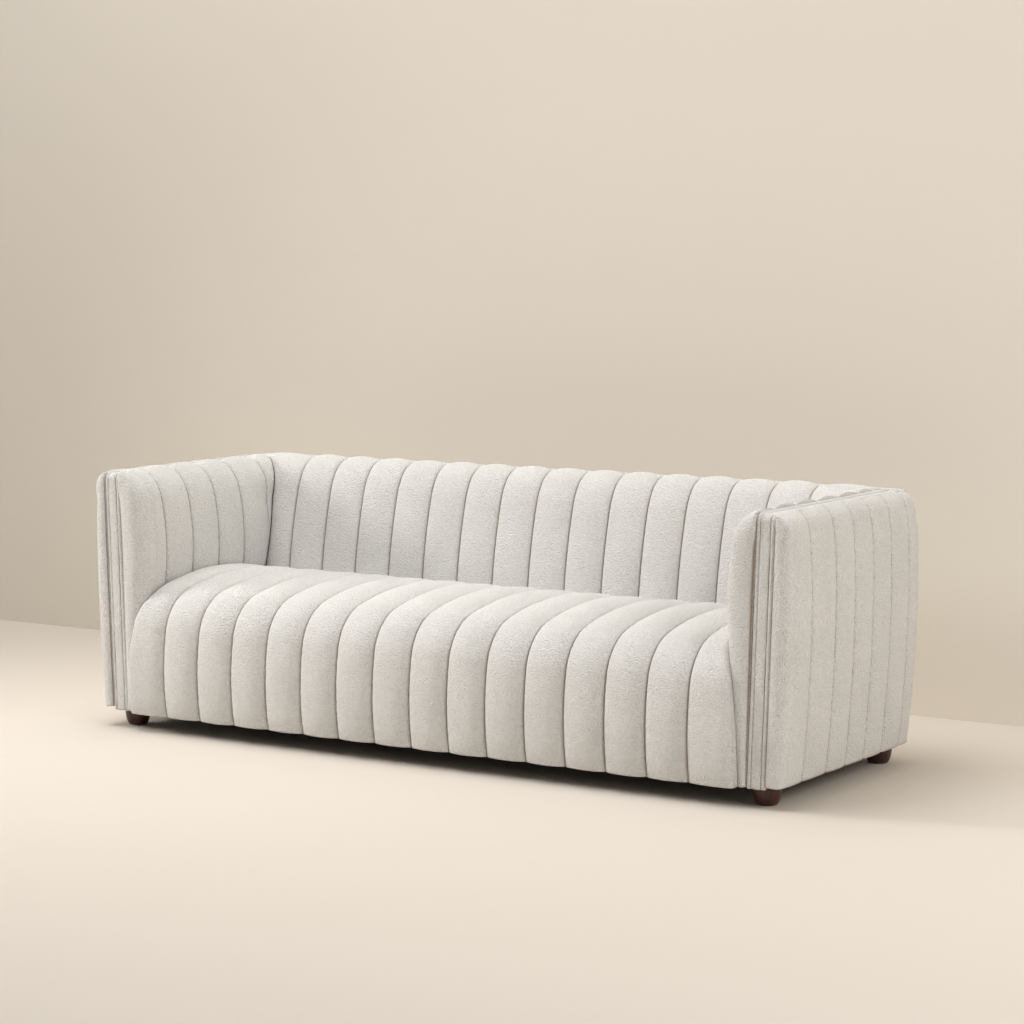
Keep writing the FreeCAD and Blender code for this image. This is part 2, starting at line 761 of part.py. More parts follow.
backFront = "Sizes.backCentreY - Sizes.frameThickness / 2"
backHalf = "(Sizes.armFootX - Sizes.frameThickness / 2 - Sizes.stripTopDrop)"
box("back_bottom_rail", "2 * " + backHalf, "Sizes.frameThickness", "Sizes.baseRailHeight",
    "-" + backHalf, backFront, "Sizes.frameBottom")
box("back_top_rail", "2 * " + backHalf, "Sizes.frameThickness", "Sizes.topRailHeight",
    "-" + backHalf, backFront, railFoot)
tackThickness = "Sizes.frameThickness - Sizes.backPostThickness"
box("back_tack_rail", "2 * " + backHalf, tackThickness, "Sizes.tackRailHeight",
    "-" + backHalf, backFront, "Sizes.tackRailLevel")

backPostCount = 4


def backPosts():
    # upright posts behind the tack rail, between the bottom and top rails
    reach = worth(backHalf)
    spread = (2 * reach - size("postWidth")) / (backPostCount - 1)
    low, high = worth(postFoot), worth(railFoot)
    rear = size("backCentreY") + size("frameThickness") / 2
    posts = []
    for number in range(backPostCount):
        corner = Vector(-reach + number * spread, rear - size("backPostThickness"), low)
        posts.append(Part.makeBox(size("postWidth"), size("backPostThickness"), high - low, corner))
    return Part.makeCompound(posts)


formed("back_posts", backPosts())

railY = "(Sizes.armFaceY + Sizes.seatPadDepth)"
rearRailY = "(Sizes.backCentreY - Sizes.stripWidth / 2 - Sizes.railThickness - Sizes.rearRailGap)"
seatWidth = "2 * Sizes.seatHalfWidth"
box("front_seat_rail", seatWidth, "Sizes.railThickness", "Sizes.railHeight",
    "-Sizes.seatHalfWidth", railY, "Sizes.frameBottom")
box("rear_seat_rail", seatWidth, "Sizes.railThickness", "Sizes.railHeight",
    "-Sizes.seatHalfWidth", rearRailY, "Sizes.frameBottom")
sideLength = rearRailY + " - " + railY + " - Sizes.railThickness"
sideStarts = {"left": "-Sizes.seatHalfWidth", "right": "Sizes.seatHalfWidth - Sizes.railThickness"}
for name, start in sideStarts.items():
    box(name + "_seat_rail", "Sizes.railThickness", sideLength, "Sizes.railHeight",
        start, railY + " + Sizes.railThickness", "Sizes.frameBottom")

railInner = worth(railY) + size("railThickness")
rearInner = worth(rearRailY)


def crossRails():
    half = size("railThickness") / 2
    rails = []
    for across in (-size("crossRailX"), size("crossRailX")):
        corner = Vector(across - half, railInner, size("frameBottom"))
        rails.append(Part.makeBox(2 * half, rearInner - railInner, size("crossRailHeight"), corner))
    return Part.makeCompound(rails)


def cornerBlocks():
    # triangular glue blocks in the four corners of the seat frame
    leg = size("cornerBlockSide")
    half = size("seatHalfWidth") - size("railThickness")
    low = size("frameBottom")
    rise = Vector(0, 0, size("cornerBlockHeight"))
    blocks = []
    for side in (-1, 1):
        for y, inward in ((railInner, 1), (rearInner, -1)):
            corners = [(side * half, y), (side * (half - leg), y), (side * half, y + inward * leg)]
            blocks.append(prism(corners, lambda u, v: Vector(u, v, low), rise))
    return Part.makeCompound(blocks)


formed("seat_cross_rails", crossRails())
formed("seat_corner_blocks", cornerBlocks())


# Seat suspension

def ribbon(route, width):
    # the outline of a square-cornered route of one width
    left, right = [], []
    for number, spot in enumerate(route):
        before = route[max(number - 1, 0)]
        after = route[min(number + 1, len(route) - 1)]
        steps = [(spot[0] - before[0], spot[1] - before[1]), (after[0] - spot[0], after[1] - spot[1])]
        across = set()
        for du, dv in steps:
            reach = abs(du) + abs(dv)
            if reach > 0:
                across.add((-dv / reach, du / reach))
        du = sum(item[0] for item in across) * width / 2
        dv = sum(item[1] for item in across) * width / 2
        left.append((spot[0] + du, spot[1] + dv))
        right.append((spot[0] - du, spot[1] - dv))
    return left + right[::-1]


springFront = railInner - size("springSeat")
springRear = rearInner + size("springSeat")
springCount = int(size("springCount"))
springX = [size("springSpacing") * (k - (springCount - 1) / 2) for k in range(springCount)]
wire = size("springWire")


def springs():
    # zigzag springs from the front rail to the rear rail
    waves = int(size("springWaves"))
    half = size("springWidth") / 2
    step = (springRear - springFront) / waves
    shapes = []
    for x in springX:
        route = []
        for wave in range(waves + 1):
            side = half if wave % 2 else -half
            y = springFront + wave * step
            route += [(x - side, y), (x + side, y)]
        corners = ribbon(route, wire)
        shapes.append(prism(corners, lambda u, v: Vector(u, v, springTop - wire), Vector(0, 0, wire)))
    return Part.makeCompound(shapes)


def springClips():
    # a clip over the middle of each spring's end bar, nailed to the rail
    reach, lip = size("clipReach"), wire + size("clipLip")
    heel, under = size("clipHeel"), wire + fitGap
    hook = [(heel, 0), (reach, 0), (reach, lip), (-reach, lip), (-reach, under), (heel, under)]
    low = springTop - wire
    clips = []
    for x in springX:
        for y in (springFront, springRear):
            outside = -1 if y == springFront else 1
            corners = [(y + outside * u, low + v) for u, v in hook]
            clips.append(prism(corners, lambda u, v: Vector(x - reach, u, v), Vector(2 * reach, 0, 0)))
    return Part.makeCompound(clips)


formed("seat_springs", springs())
formed("spring_clips", springClips())
insulatorFront = springFront + size("insulatorInset")
insulatorReach = seatSpots()[-1][0] - size("insulatorRearGap") - insulatorFront
insulatorHalf = "(Sizes.seatHalfWidth - Sizes.insulatorInset)"
box("seat_insulator_pad", "2 * " + insulatorHalf, str(insulatorReach), "Sizes.insulatorThickness",
    "-" + insulatorHalf, str(insulatorFront), str(springTop + size("insulatorGap")))


webFoot = worth(postFoot) - size("webFootTuck")
webHead = worth(railFoot) + size("webHeadTuck")


def armWebbing(side):
    # upright straps over the inside of an arm's frame
    near = -size("frameThickness") / 2 - size("webGap")
    far = near - size("webThickness")
    straps = []
    for number in range(int(size("armWebs"))):
        y = armFaceY + size("armWebFirst") + number * size("armWebPitch")
        corners = [(far, webFoot), (near, webFoot), (near, webHead), (far, webHead)]
        corners = [(armLineX(v, across), v) for across, v in corners]
        straps.append(prism(corners, lambda u, v: Vector(side * u, y, v), Vector(0, size("webWidth"), 0)))
    return Part.makeCompound(straps)


def backWebbing():
    # upright straps over the front of the back frame
    width, thickness = size("webWidth"), size("webThickness")
    y = worth(backFront) - thickness - size("webGap")
    count = int(size("backWebs"))
    straps = []
    for number in range(count):
        x = (number - (count - 1) / 2) * size("backWebPitch") - width / 2
        straps.append(Part.makeBox(width, thickness, webHead - webFoot, Vector(x, y, webFoot)))
    return Part.makeCompound(straps)


formed("left_arm_webbing", armWebbing(-1))
formed("right_arm_webbing", armWebbing(1))
formed("back_webbing", backWebbing())


def dustCover():
    # the cloth under the frame, cut out round the feet
    body = newBody("dust_cover")
    sketch = sketchOn(body, "XY_Plane", "Plan")
    half = "(Sizes.armFootX + Sizes.frameThickness / 2 - Sizes.dustCoverInset)"
    rear = "(Sizes.backCentreY + Sizes.frameThickness / 2)"
    outline(sketch, [("-" + half, frontPost), (half, frontPost), (half, rear), ("-" + half, rear)])
    pad = body.newObject("PartDesign::Pad", "Cloth")
    pad.Profile = sketch
    pad.setExpression("Length", "Sizes.dustCoverThickness")
    holes = sketchOn(body, "XY_Plane", "FootHoles")
    places = [(side, y) for side in (-1, 1) for y in ("Sizes.footFrontY", "Sizes.footRearY")]
    for number, (side, y) in enumerate(places):
        centre = Vector(side * size("footX"), worth(y), 0)
        holes.addGeometry(Part.Circle(centre, Vector(0, 0, 1), size("footTopRadius")))
        pin(holes, "DistanceX", number, 3, "footAcross%d" % number, "%d * Sizes.footX" % side)
        pin(holes, "DistanceY", number, 3, "footAlong%d" % number, y)
        sizing = holes.addConstraint(Sketcher.Constraint("Radius", number, size("footTopRadius")))
        holes.renameConstraint(sizing, "cut%d" % number)
        holes.setExpression("Constraints.cut%d" % number, "Sizes.footTopRadius")
    doc.recompute()
    cuts = body.newObject("PartDesign::Pocket", "Cuts")
    cuts.Profile = holes
    cuts.Reversed = True
    cuts.setExpression("Length", "Sizes.dustCoverThickness")
    body.setExpression("Placement.Base.z", "Sizes.frameBottom - Sizes.dustCoverThickness")


dustCover()


# Feet

footRings = [
    (size("footFloorRadius"), 0),
    (size("footFloorRadius") + 5, 5),
    (size("footTopRadius") + 1, 0.7 * size("footHeight")),
    (size("footTopRadius") - 1, size("footHeight")),
]
footSides = 24


def ring(place, radius, high):
    turns = [2 * math.pi * (number + 0.5) / footSides for number in range(footSides)]
    return [place + Vector(radius * math.cos(turn), radius * math.sin(turn), high) for turn in turns]


def foot(place):
    # a turned bun foot, bored from the top for its hanger bolt
    rings = [ring(place, radius, high) for radius, high in footRings]
    flats = [rings[0], rings[-1]]
    for low, high in zip(rings[:-1], rings[1:]):
        for n in range(footSides):
            flats.append([low[n - 1], low[n], high[n], high[n - 1]])
    faces = [Part.Face(Part.makePolygon(flat + flat[:1])) for flat in flats]
    solid = Part.makeSolid(Part.makeShell(faces))
    if solid.Volume < 0:
        solid.reverse()
    depth = size("boltLength") / 2
    bore = Part.makeCylinder(size("boltHoleRadius"), depth, place + Vector(0, 0, floorZ - depth))
    return solid.cut(bore)


footPlaces = []
for side, name in ((-1, "left"), (1, "right")):
    for end, y in (("front", "footFrontY"), ("rear", "footRearY")):
        place = Vector(side * size("footX"), size(y), 0)
        formed("%s_%s_foot" % (end, name), foot(place))
        footPlaces.append(place)


def hangerBolts():
    length = size("boltLength")
    return Part.makeCompound([
        Part.makeCylinder(size("boltRadius"), length - 1, place + Vector(0, 0, floorZ - length / 2 + 0.5))
        for place in footPlaces
    ])


formed("hanger_bolts", hangerBolts())

doc.recompute()
faults = [item.Name for item in doc.Objects if "Invalid" in item.State or "Error" in item.State]
for piece in pieces:
    if piece.Shape.isNull() or not piece.Shape.isValid():
        faults.append(piece.Label)
if faults:
    raise RuntimeError("not built: " + ", ".join(faults))
for piece in pieces:
    piece.Shape.exportStep("parts/%s.step" % piece.Label)
print("%d pieces written" % len(pieces))
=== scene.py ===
import math

import bpy
import numpy as np
from mathutils import Matrix, Vector


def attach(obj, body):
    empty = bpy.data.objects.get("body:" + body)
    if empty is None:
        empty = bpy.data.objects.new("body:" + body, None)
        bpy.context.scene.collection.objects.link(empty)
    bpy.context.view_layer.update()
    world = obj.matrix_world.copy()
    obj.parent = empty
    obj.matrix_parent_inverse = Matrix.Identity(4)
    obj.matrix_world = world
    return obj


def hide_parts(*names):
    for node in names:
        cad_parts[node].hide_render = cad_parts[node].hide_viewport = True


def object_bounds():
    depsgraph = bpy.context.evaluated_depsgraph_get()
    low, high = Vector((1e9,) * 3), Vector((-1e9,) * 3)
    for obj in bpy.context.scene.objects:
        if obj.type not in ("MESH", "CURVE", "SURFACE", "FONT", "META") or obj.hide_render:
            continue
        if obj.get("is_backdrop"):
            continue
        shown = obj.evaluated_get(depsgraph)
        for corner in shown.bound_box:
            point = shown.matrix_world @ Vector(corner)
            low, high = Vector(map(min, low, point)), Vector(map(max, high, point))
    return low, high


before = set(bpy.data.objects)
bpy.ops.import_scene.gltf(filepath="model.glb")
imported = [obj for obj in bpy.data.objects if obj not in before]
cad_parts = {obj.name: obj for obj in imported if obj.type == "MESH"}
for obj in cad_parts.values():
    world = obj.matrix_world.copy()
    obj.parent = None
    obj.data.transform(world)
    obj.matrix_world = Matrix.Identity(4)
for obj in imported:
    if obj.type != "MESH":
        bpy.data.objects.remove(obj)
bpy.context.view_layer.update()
scene = bpy.context.scene
print("frame loaded")


# Main lines of the sofa, in metres and degrees
sofa = {
    "floorGap": 0.050,
    "armFrontY": -0.379,
    "armFootX": 1.0225,
    "armSplay": 1.75,
    "topZ": 0.735,
    "backCentreY": 0.3436,
    "stripWidth": 0.051,
    "channelPitch": 0.1203,
    "seatSeams": 15,
    "bedGap": 0.0003,
}
floorZ = sofa["floorGap"]
armFrontY = sofa["armFrontY"]
topZ = sofa["topZ"]
halfStrip = sofa["stripWidth"] / 2 + sofa["bedGap"]
backInnerY = sofa["backCentreY"] - halfStrip
backOuterY = sofa["backCentreY"] + halfStrip
bothSides = ((-1, "left"), (1, "right"))
seamX = [sofa["channelPitch"] * (k - (sofa["seatSeams"] - 1) / 2) for k in range(sofa["seatSeams"])]


def armLine(z, across=0.0):
    # the splayed middle line of an arm
    return sofa["armFootX"] + across + math.tan(math.radians(sofa["armSplay"])) * (z - floorZ)


# Profiles: tangent straight runs and clockwise arcs, as (radius, length or turn)

profileStep = {"inner": 0.0065, "outer": 0.007, "hidden": 0.012, "fitted": 0.002}


def traceRuns(runs, heading, step):
    spots = [(0.0, 0.0, math.radians(heading), 0.0)]
    for radius, amount in runs:
        u, v, turn, along = spots[-1]
        length = amount if radius == 0 else radius * math.radians(amount)
        count = max(2, round(length / step))
        for k in range(1, count + 1):
            gone = length * k / count
            if radius == 0:
                spots.append((u + gone * math.cos(turn), v + gone * math.sin(turn), turn, along + gone))
            else:
                turned = turn - gone / radius
                spots.append((u + radius * (math.sin(turn) - math.sin(turned)),
                              v + radius * (math.cos(turned) - math.cos(turn)), turned, along + gone))
    return np.array(spots)


def endingAt(spots, u, v):
    spots[:, 0] += u - spots[-1, 0]
    spots[:, 1] += v - spots[-1, 1]
    return spots


def levelAt(spots, v):
    return np.interp(v, spots[:, 1], spots[:, 0])


# Padded panels

def swell(share, power):
    return 1 - np.abs(2 * share - 1) ** power


def waver(along, seed, lengths, size):
    # a smooth seeded unevenness along a seam or a channel
    dice = np.random.default_rng(seed)
    total = np.zeros_like(along)
    for length in lengths:
        total += np.sin(2 * math.pi * along / (length * dice.uniform(0.8, 1.2)) + dice.uniform(0, 6.3))
    return size * total / len(lengths)


def easedCrown(along, startShare, startRun, endShare, endRun):
    # how full the channels are along their length, drawn in at both ends
    left = along[-1] - along
    start = startShare + (1 - startShare) * np.sin(np.clip(along / startRun, 0, 1) * math.pi / 2)
    end = endShare + (1 - endShare) * np.sin(np.clip(left / endRun, 0, 1) * math.pi / 2)
    return start * end


channelShape = {
    "steps": [0.0, 0.012, 0.03, 0.06, 0.11, 0.18, 0.27, 0.38, 0.5, 0.62, 0.73, 0.82, 0.89, 0.94, 0.97, 0.988],
    "power": 2.15,
    "seamDepth": 0.0045,      # how far the stitching pulls the cloth in
    "seamReach": 0.0034,
    "puckerSize": 0.0011,     # little creases that run away from a seam
    "puckerReach": 0.016,
    "puckerStart": 0.004,
    "puckerLengths": (0.019, 0.027, 0.043),
    "unevenness": 0.0011,
    "unevenLengths": (0.16, 0.29, 0.5),
    "fadeRun": 0.012,         # over which a channel without stitching runs out
    "pressRun": 0.012,        # over which two panels press on each other in the inner corners
    "pressShare": 0.75,
    "pressPaling": 0.85,
}


def channelRow(along, starts, ends, crown, seed, farPower=None):
    # one sewn channel for every section: places across, heights, and how near the seam is, which also sets the
    # painted seam shade
    form = channelShape
    share = np.array(form["steps"])[None, :]
    width = (ends - starts)[:, None]
    across = starts[:, None] + share * width
    fromStart = share * width
    fromEnd = (1 - share) * width
    near = np.minimum(fromStart, fromEnd)
    power = form["power"] if farPower is None else np.where(share < 0.5, form["power"], farPower)
    lift = crown[:, None] * swell(share, power)
    lift += waver(along, seed + 7, form["unevenLengths"], form["unevenness"])[:, None] * swell(share, 2)
    for far, offset in ((fromStart, 0), (fromEnd, 1)):
        pucker = waver(along, seed + offset, form["puckerLengths"], form["puckerSize"])[:, None]
        lift += pucker * np.exp(-far / form["puckerReach"]) * np.minimum(1, far / form["puckerStart"])
    # painted seam shade, strongest on the seam line
    seamShade = np.exp(-(near / form["seamReach"]) ** 2)
    return across, lift - form["seamDepth"] * seamShade, seamShade


def channelRows(along, seams, crown, seed):
    rows = []
    for number in range(len(seams) - 1):
        starts, ends = (line * np.ones_like(along) for line in seams[number:number + 2])
        rows.append(channelRow(along, starts, ends, crown, seed + 10 * number))
    return joined(rows)


def joined(rows):
    return tuple(np.concatenate([row[k] for row in rows], axis=1) for k in range(3))


def mirroredRow(row):
    across, lift, seamShade = (part[:, ::-1] for part in row)
    return -across, lift, seamShade


def closingSeam(along, place):
    # the last stitched line of a panel
    line = (place * np.ones_like(along))[:, None]
    # the closing line is fully marked with painted seam shade
    return line, np.full_like(line, -channelShape["seamDepth"]), np.ones_like(line)


def pressedEnd(row, mitre):
    # towards the inner corner, two panels press on each other in place of a stitched groove
    form = channelShape
    across, lift, seamShade = row
    near = np.clip(1 - np.abs(across - np.reshape(mitre, (-1, 1))) / form["pressRun"], 0, 1) ** 0.5
    lift = lift + form["pressShare"] * form["seamDepth"] * seamShade * near
    # the painted seam shade pales towards the inner corner
    return across, lift, seamShade * (1 - form["pressPaling"] * near)


def fadedRow(row, distance, stitched):
    # a channel that runs out over a short distance; where it isn't stitched, it has no groove either
    fade = np.clip(distance / channelShape["fadeRun"], 0, 1)
    across, lift, seamShade = row
    if not stitched:
        lift = lift + channelShape["seamDepth"] * seamShade * (1 - fade)
    return across, lift * fade, seamShade * fade


def easedStep(share):
    share = np.clip(share, 0, 1)
    return share * share * (3 - 2 * share)


def fillFor(along, start, size):
    # how much fuller a roll is where two panels meet at its end
    return size * np.sin(math.pi * np.clip((along - start) / (along[-1] - start), 0, 1))


def filledLine(spots, fill):
    # a profile as it runs where its roll is fuller
    line = spots.copy()
    line[:, 0] -= fill * np.sin(spots[:, 2])
    line[:, 1] += fill * np.cos(spots[:, 2])
    return line


def ringFaces(count, wide):
    # the faces of a closed body, from rings of points that follow one another
    faces = []
    for near in range(0, (count - 1) * wide, wide):
        for j in range(wide):
            following = (j + 1) % wide
            faces.append((near + j, near + following, near + wide + following, near + wide + j))
    faces.append(tuple(range(wide))[::-1])
    faces.append(tuple((count - 1) * wide + j for j in range(wide)))
    return faces


def makeBody(name, spots, faces, seamShade=None, smooth=True):
    # seamShade says, point by point, how much painted shade in the seam creases, with some thread colour,
    # darkens the cloth
    mesh = bpy.data.meshes.new(name)
    mesh.from_pydata(spots, [], faces)
    if seamShade is not None:
        layer = mesh.attributes.new("seamShade", "FLOAT", "POINT")
        layer.data.foreach_set("value", seamShade)
    mesh.validate()
    for polygon in mesh.polygons:
        polygon.use_smooth = smooth and len(polygon.vertices) == 4
    piece = bpy.data.objects.new(name, mesh)
    scene.collection.objects.link(piece)
    return piece


def turnOutward(piece):
    bpy.context.view_layer.objects.active = piece
    bpy.ops.object.select_all(action="DESELECT")
    piece.select_set(True)
    bpy.ops.object.mode_set(mode="EDIT")
    bpy.ops.mesh.select_all(action="SELECT")
    bpy.ops.mesh.normals_make_consistent(inside=False)
    bpy.ops.object.mode_set(mode="OBJECT")


def makePanel(name, spots, rows, depth, lay):
    # a closed padded panel: its padded face, its flat hidden side and its two ends
    across, lift, seamShade = rows
    turn = spots[:, 2][:, None]
    count, wide = across.shape
    faceU = spots[:, 0][:, None] - lift * np.sin(turn)
    faceV = spots[:, 1][:, None] + lift * np.cos(turn)
    deep = np.broadcast_to(np.asarray(depth, float).reshape(-1, 1), (count, 1))
    backU = spots[:, 0][:, None] + deep * np.sin(turn)
    backV = spots[:, 1][:, None] - deep * np.cos(turn)
    hidden = [lay(across[:, [k]], backU, backV) for k in (-1, 0)]
    ring = np.concatenate([lay(across, faceU, faceV)] + hidden, axis=1)
    marks = np.zeros((count, wide + 2), np.float32)
    marks[:, :wide] = seamShade
    piece = makeBody(name, ring.reshape(-1, 3).tolist(), ringFaces(count, wide + 2), marks.ravel())
    turnOutward(piece)
    return piece


def placed(x, y, z):
    return np.stack(np.broadcast_arrays(x, y, z), axis=-1)


def setDown(piece, material, nodes):
    piece.data.materials.clear()
    piece.data.materials.append(material)
    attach(piece, "root")
    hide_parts(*nodes)
    return piece


# Materials

def newMaterial(name):
    material = bpy.data.materials.new(name)
    material.use_nodes = True
    nodes = material.node_tree.nodes
    return material, nodes, material.node_tree.links, nodes["Principled BSDF"]


def addNoise(nodes, links, source, scale, detail):
    noise = nodes.new("ShaderNodeTexNoise")
    noise.inputs["Scale"].default_value = scale
    noise.inputs["Detail"].default_value = detail
    links.new(source, noise.inputs["Vector"])
    return noise


def addMath(nodes, links, operation, source, factor, addend=None):
    result = nodes.new("ShaderNodeMath")
    result.operation = operation
    links.new(source, result.inputs[0])
    result.inputs[1].default_value = factor
    if addend is not None:
        links.new(addend, result.inputs[2])
    return result.outputs["Value"]


def addTones(nodes, links, source, positions, colours):
    tones = nodes.new("ShaderNodeValToRGB")
    for element, position, colour in zip(tones.color_ramp.elements, positions, colours):
        element.position = position
        element.color = (*colour, 1)
    links.new(source, tones.inputs["Fac"])
    return tones.outputs["Color"]


def addBump(nodes, links, source, shader, strength, depth):
    bump = nodes.new("ShaderNodeBump")
    bump.inputs["Strength"].default_value = strength
    bump.inputs["Distance"].default_value = depth
    links.new(source, bump.inputs["Height"])
    links.new(bump.outputs["Normal"], shader.inputs["Normal"])


def boucleCloth(name, look):
    # looped yarn: small curls, soft colour changes, and seams darkened by painted shade in their creases with
    # some thread colour
    material, nodes, links, shader = newMaterial(name)
    place = nodes.new("ShaderNodeTexCoord").outputs["Object"]
    curls = nodes.new("ShaderNodeTexVoronoi")
    curls.inputs["Scale"].default_value = look["curl"]
    curls.inputs["Randomness"].default_value = 1.0
    links.new(place, curls.inputs["Vector"])
    knots = addNoise(nodes, links, place, look["knot"], 4.0).outputs["Fac"]
    patches = addNoise(nodes, links, place, look["patch"], 2.0).outputs["Fac"]
    heap = addMath(nodes, links, "MULTIPLY_ADD", curls.outputs["Distance"], -look["curlHeight"], knots)
    addBump(nodes, links, heap, shader, look["bump"], look["depth"])

    patchTone = addMath(nodes, links, "MULTIPLY", patches, look["patchShare"])
    tone = addMath(nodes, links, "MULTIPLY_ADD", knots, look["knotShare"], patchTone)
    seamShade = nodes.new("ShaderNodeAttribute")
    seamShade.attribute_name = "seamShade"
    threadAndShade = nodes.new("ShaderNodeMix")
    threadAndShade.data_type = "RGBA"
    links.new(addMath(nodes, links, "POWER", seamShade.outputs["Fac"], look["threadAndShadeFade"]), threadAndShade.inputs[0])
    links.new(addTones(nodes, links, tone, (0.25, 0.75), (look["shade"], look["pale"])), threadAndShade.inputs[6])
    threadAndShade.inputs[7].default_value = (*look["threadAndShade"], 1)
    links.new(threadAndShade.outputs[2], shader.inputs["Base Color"])
    shader.inputs["Roughness"].default_value = 0.95
    shader.inputs["Specular IOR Level"].default_value = 0.2
    shader.inputs["Sheen Weight"].default_value = 0.25
    shader.inputs["Sheen Roughness"].default_value = 0.6
    return material


def grainyFinish(name, colours, scale, stretch, roughness, bumpDepth, bump=0.5, metal=0.0, distortion=0.0):
    # one grain for wood, foam, felt, cloth or drawn wire, by its colours, scale and stretch
    material, nodes, links, shader = newMaterial(name)
    shape = nodes.new("ShaderNodeMapping")
    shape.inputs["Scale"].default_value = stretch
    links.new(nodes.new("ShaderNodeTexCoord").outputs["Object"], shape.inputs["Vector"])
    grain = addNoise(nodes, links, shape.outputs["Vector"], scale, 6.0)
    grain.inputs["Distortion"].default_value = distortion
    links.new(addTones(nodes, links, grain.outputs["Fac"], (0.3, 0.7), colours), shader.inputs["Base Color"])
    addBump(nodes, links, grain.outputs["Fac"], shader, bump, bumpDepth)
    shader.inputs["Roughness"].default_value = roughness
    shader.inputs["Metallic"].default_value = metal
    return material


ivory = boucleCloth("ivoryBoucle", {
    "pale": (0.86, 0.845, 0.815),
    "shade": (0.72, 0.70, 0.665),
    # the seams' colour: painted shade in their creases, with some thread colour
    "threadAndShade": (0.34, 0.265, 0.195),
    "threadAndShadeFade": 3.0,
    "curl": 245.0,
    "curlHeight": 1.1,
    "knot": 150.0,
    "knotShare": 0.7,
    "patch": 9.0,
    "patchShare": 0.35,
    "bump": 1.0,
    "depth": 0.0034,
})
print("cloth mixed")


# Seat

seatForm = {
    "faceY": -0.42,
    "faceTilt": 10.0,
    "face": (0.704, 20.0),
    "nose": (0.135, 65.5),
    "top": (0.876, 31.2),
    "crown": 0.016,
    "easing": (0.45, 0.05, 0.6, 0.06),    # the crown's share and its run at the foot, then at the rear
    "depth": 0.060,
    "footPad": 0.031,
    "sideGap": 0.001,
    "sideLean": 6.6,
    "spreadY": -0.325,
    "spreadRun": 0.05,
    "spreadHeight": 0.40,
    "frontSpread": 0.009,
    "middleSpread": 0.013,
    "sidePower": 7.0,
    "sideRise": 0.003,
}


def seatProfile(step):
    spots = traceRuns([seatForm["face"], seatForm["nose"], seatForm["top"]], 90 + seatForm["faceTilt"], step)
    bulge = seatForm["face"][0] * (1 - math.cos(math.radians(seatForm["faceTilt"])))
    spots[:, 0] += seatForm["faceY"] + seatForm["crown"] + bulge
    spots[:, 1] += floorZ
    return spots


def makeSeat():
    spots = seatProfile(profileStep["inner"])
    along = spots[:, 3]
    crown = seatForm["crown"] * easedCrown(along, *seatForm["easing"])
    lean = math.tan(math.radians(seatForm["sideLean"]))
    ends = armLine(floorZ, -halfStrip) - seatForm["footPad"] - seatForm["sideGap"]
    ends = ends - lean * (spots[:, 1] - floorZ)
    # in front of the arms the seat spreads a little round their edges
    rise = np.clip((spots[:, 1] - floorZ) / seatForm["spreadHeight"], 0, 1)
    spread = seatForm["frontSpread"] + seatForm["middleSpread"] * np.sin(math.pi * rise)
    ends += spread * easedStep((seatForm["spreadY"] - spots[:, 0]) / seatForm["spreadRun"])
    middle = channelRows(along, seamX, crown, 100)
    sides = []
    for seed in (900, 950):
        side = channelRow(along, seamX[-1] * np.ones_like(along), ends, crown, seed, seatForm["sidePower"])
        tail = closingSeam(along, ends)
        # the painted seam shade fades out across the seat's end channel and is weak on its closing seam
        side = (side[0], side[1], side[2] * np.linspace(1, 0, side[2].shape[1])[None, :])
        sides.append(joined([side, (tail[0], tail[1] + seatForm["sideRise"], tail[2] * 0.3)]))
    left = tuple(part[:, :-1] for part in mirroredRow(sides[0]))
    rows = joined([left, middle, sides[1]])
    seat = makePanel("seatCover", spots, rows, seatForm["depth"], placed)
    setDown(seat, ivory, ["seat_channel_cover"])


# Arms, inside

armForm = {
    "tilt": 6.6,
    "lower": 0.3906,
    "face": (0.640, 19.6),
    "shoulder": (0.120, 20.0),
    "roll": (0.094, 45.0),
    "topGap": 0.002,
    "crown": 0.009,
    "easing": (0.3, 0.05, 0.85, 0.035),
    "frontRound": 0.050,
    "frontSwell": 0.008,
    "firstSeam": 0.097,
    "seamPitch": 0.1177,
    "cornerSeamGap": 0.004,
    "cornerRun": 0.08,
    "rollStart": 0.575,
    "frontFill": 0.006,
    "frontReach": 0.07,
    "rearFill": 0.017,
    "rearStart": 0.09,
    "rearRun": 0.14,
}

backForm = {
    "tilt": -5.5,
    "foot": 0.030,
    "face": (1.400, 10.5),
    "shoulder": (0.180, 19.0),
    "roll": (0.081, 55.0),
    "topGap": 0.0005,
    "crown": 0.012,
    "easing": (0.5, 0.06, 0.75, 0.04),
    "depth": 0.048,
    "rollStart": 0.27,
    "endFill": 0.012,
    "endStart": 0.84,
    "endRun": 0.09,
}


def armProfile(step):
    spots = traceRuns([(0, armForm["lower"]), armForm["face"], armForm["shoulder"], armForm["roll"]],
                      90 + armForm["tilt"], step)
    return endingAt(spots, armLine(topZ, -halfStrip) - armForm["topGap"], topZ)


def backProfile(step):
    spots = traceRuns([(0, backForm["foot"]), backForm["face"], backForm["shoulder"], backForm["roll"]],
                      90 + backForm["tilt"], step)
    return endingAt(spots, backInnerY - backForm["topGap"], topZ + armForm["topGap"])


def filledArm(step):
    spots = armProfile(step)
    return filledLine(spots, fillFor(spots[:, 3], armForm["rollStart"], armForm["rearFill"]))


def filledBack(step):
    spots = backProfile(step)
    return filledLine(spots, fillFor(spots[:, 3], backForm["rollStart"], backForm["endFill"]))


edgeShape = {"fullDepth": 0.04, "roundShare": 0.6, "sideSteps": 8, "turnSteps": 13}


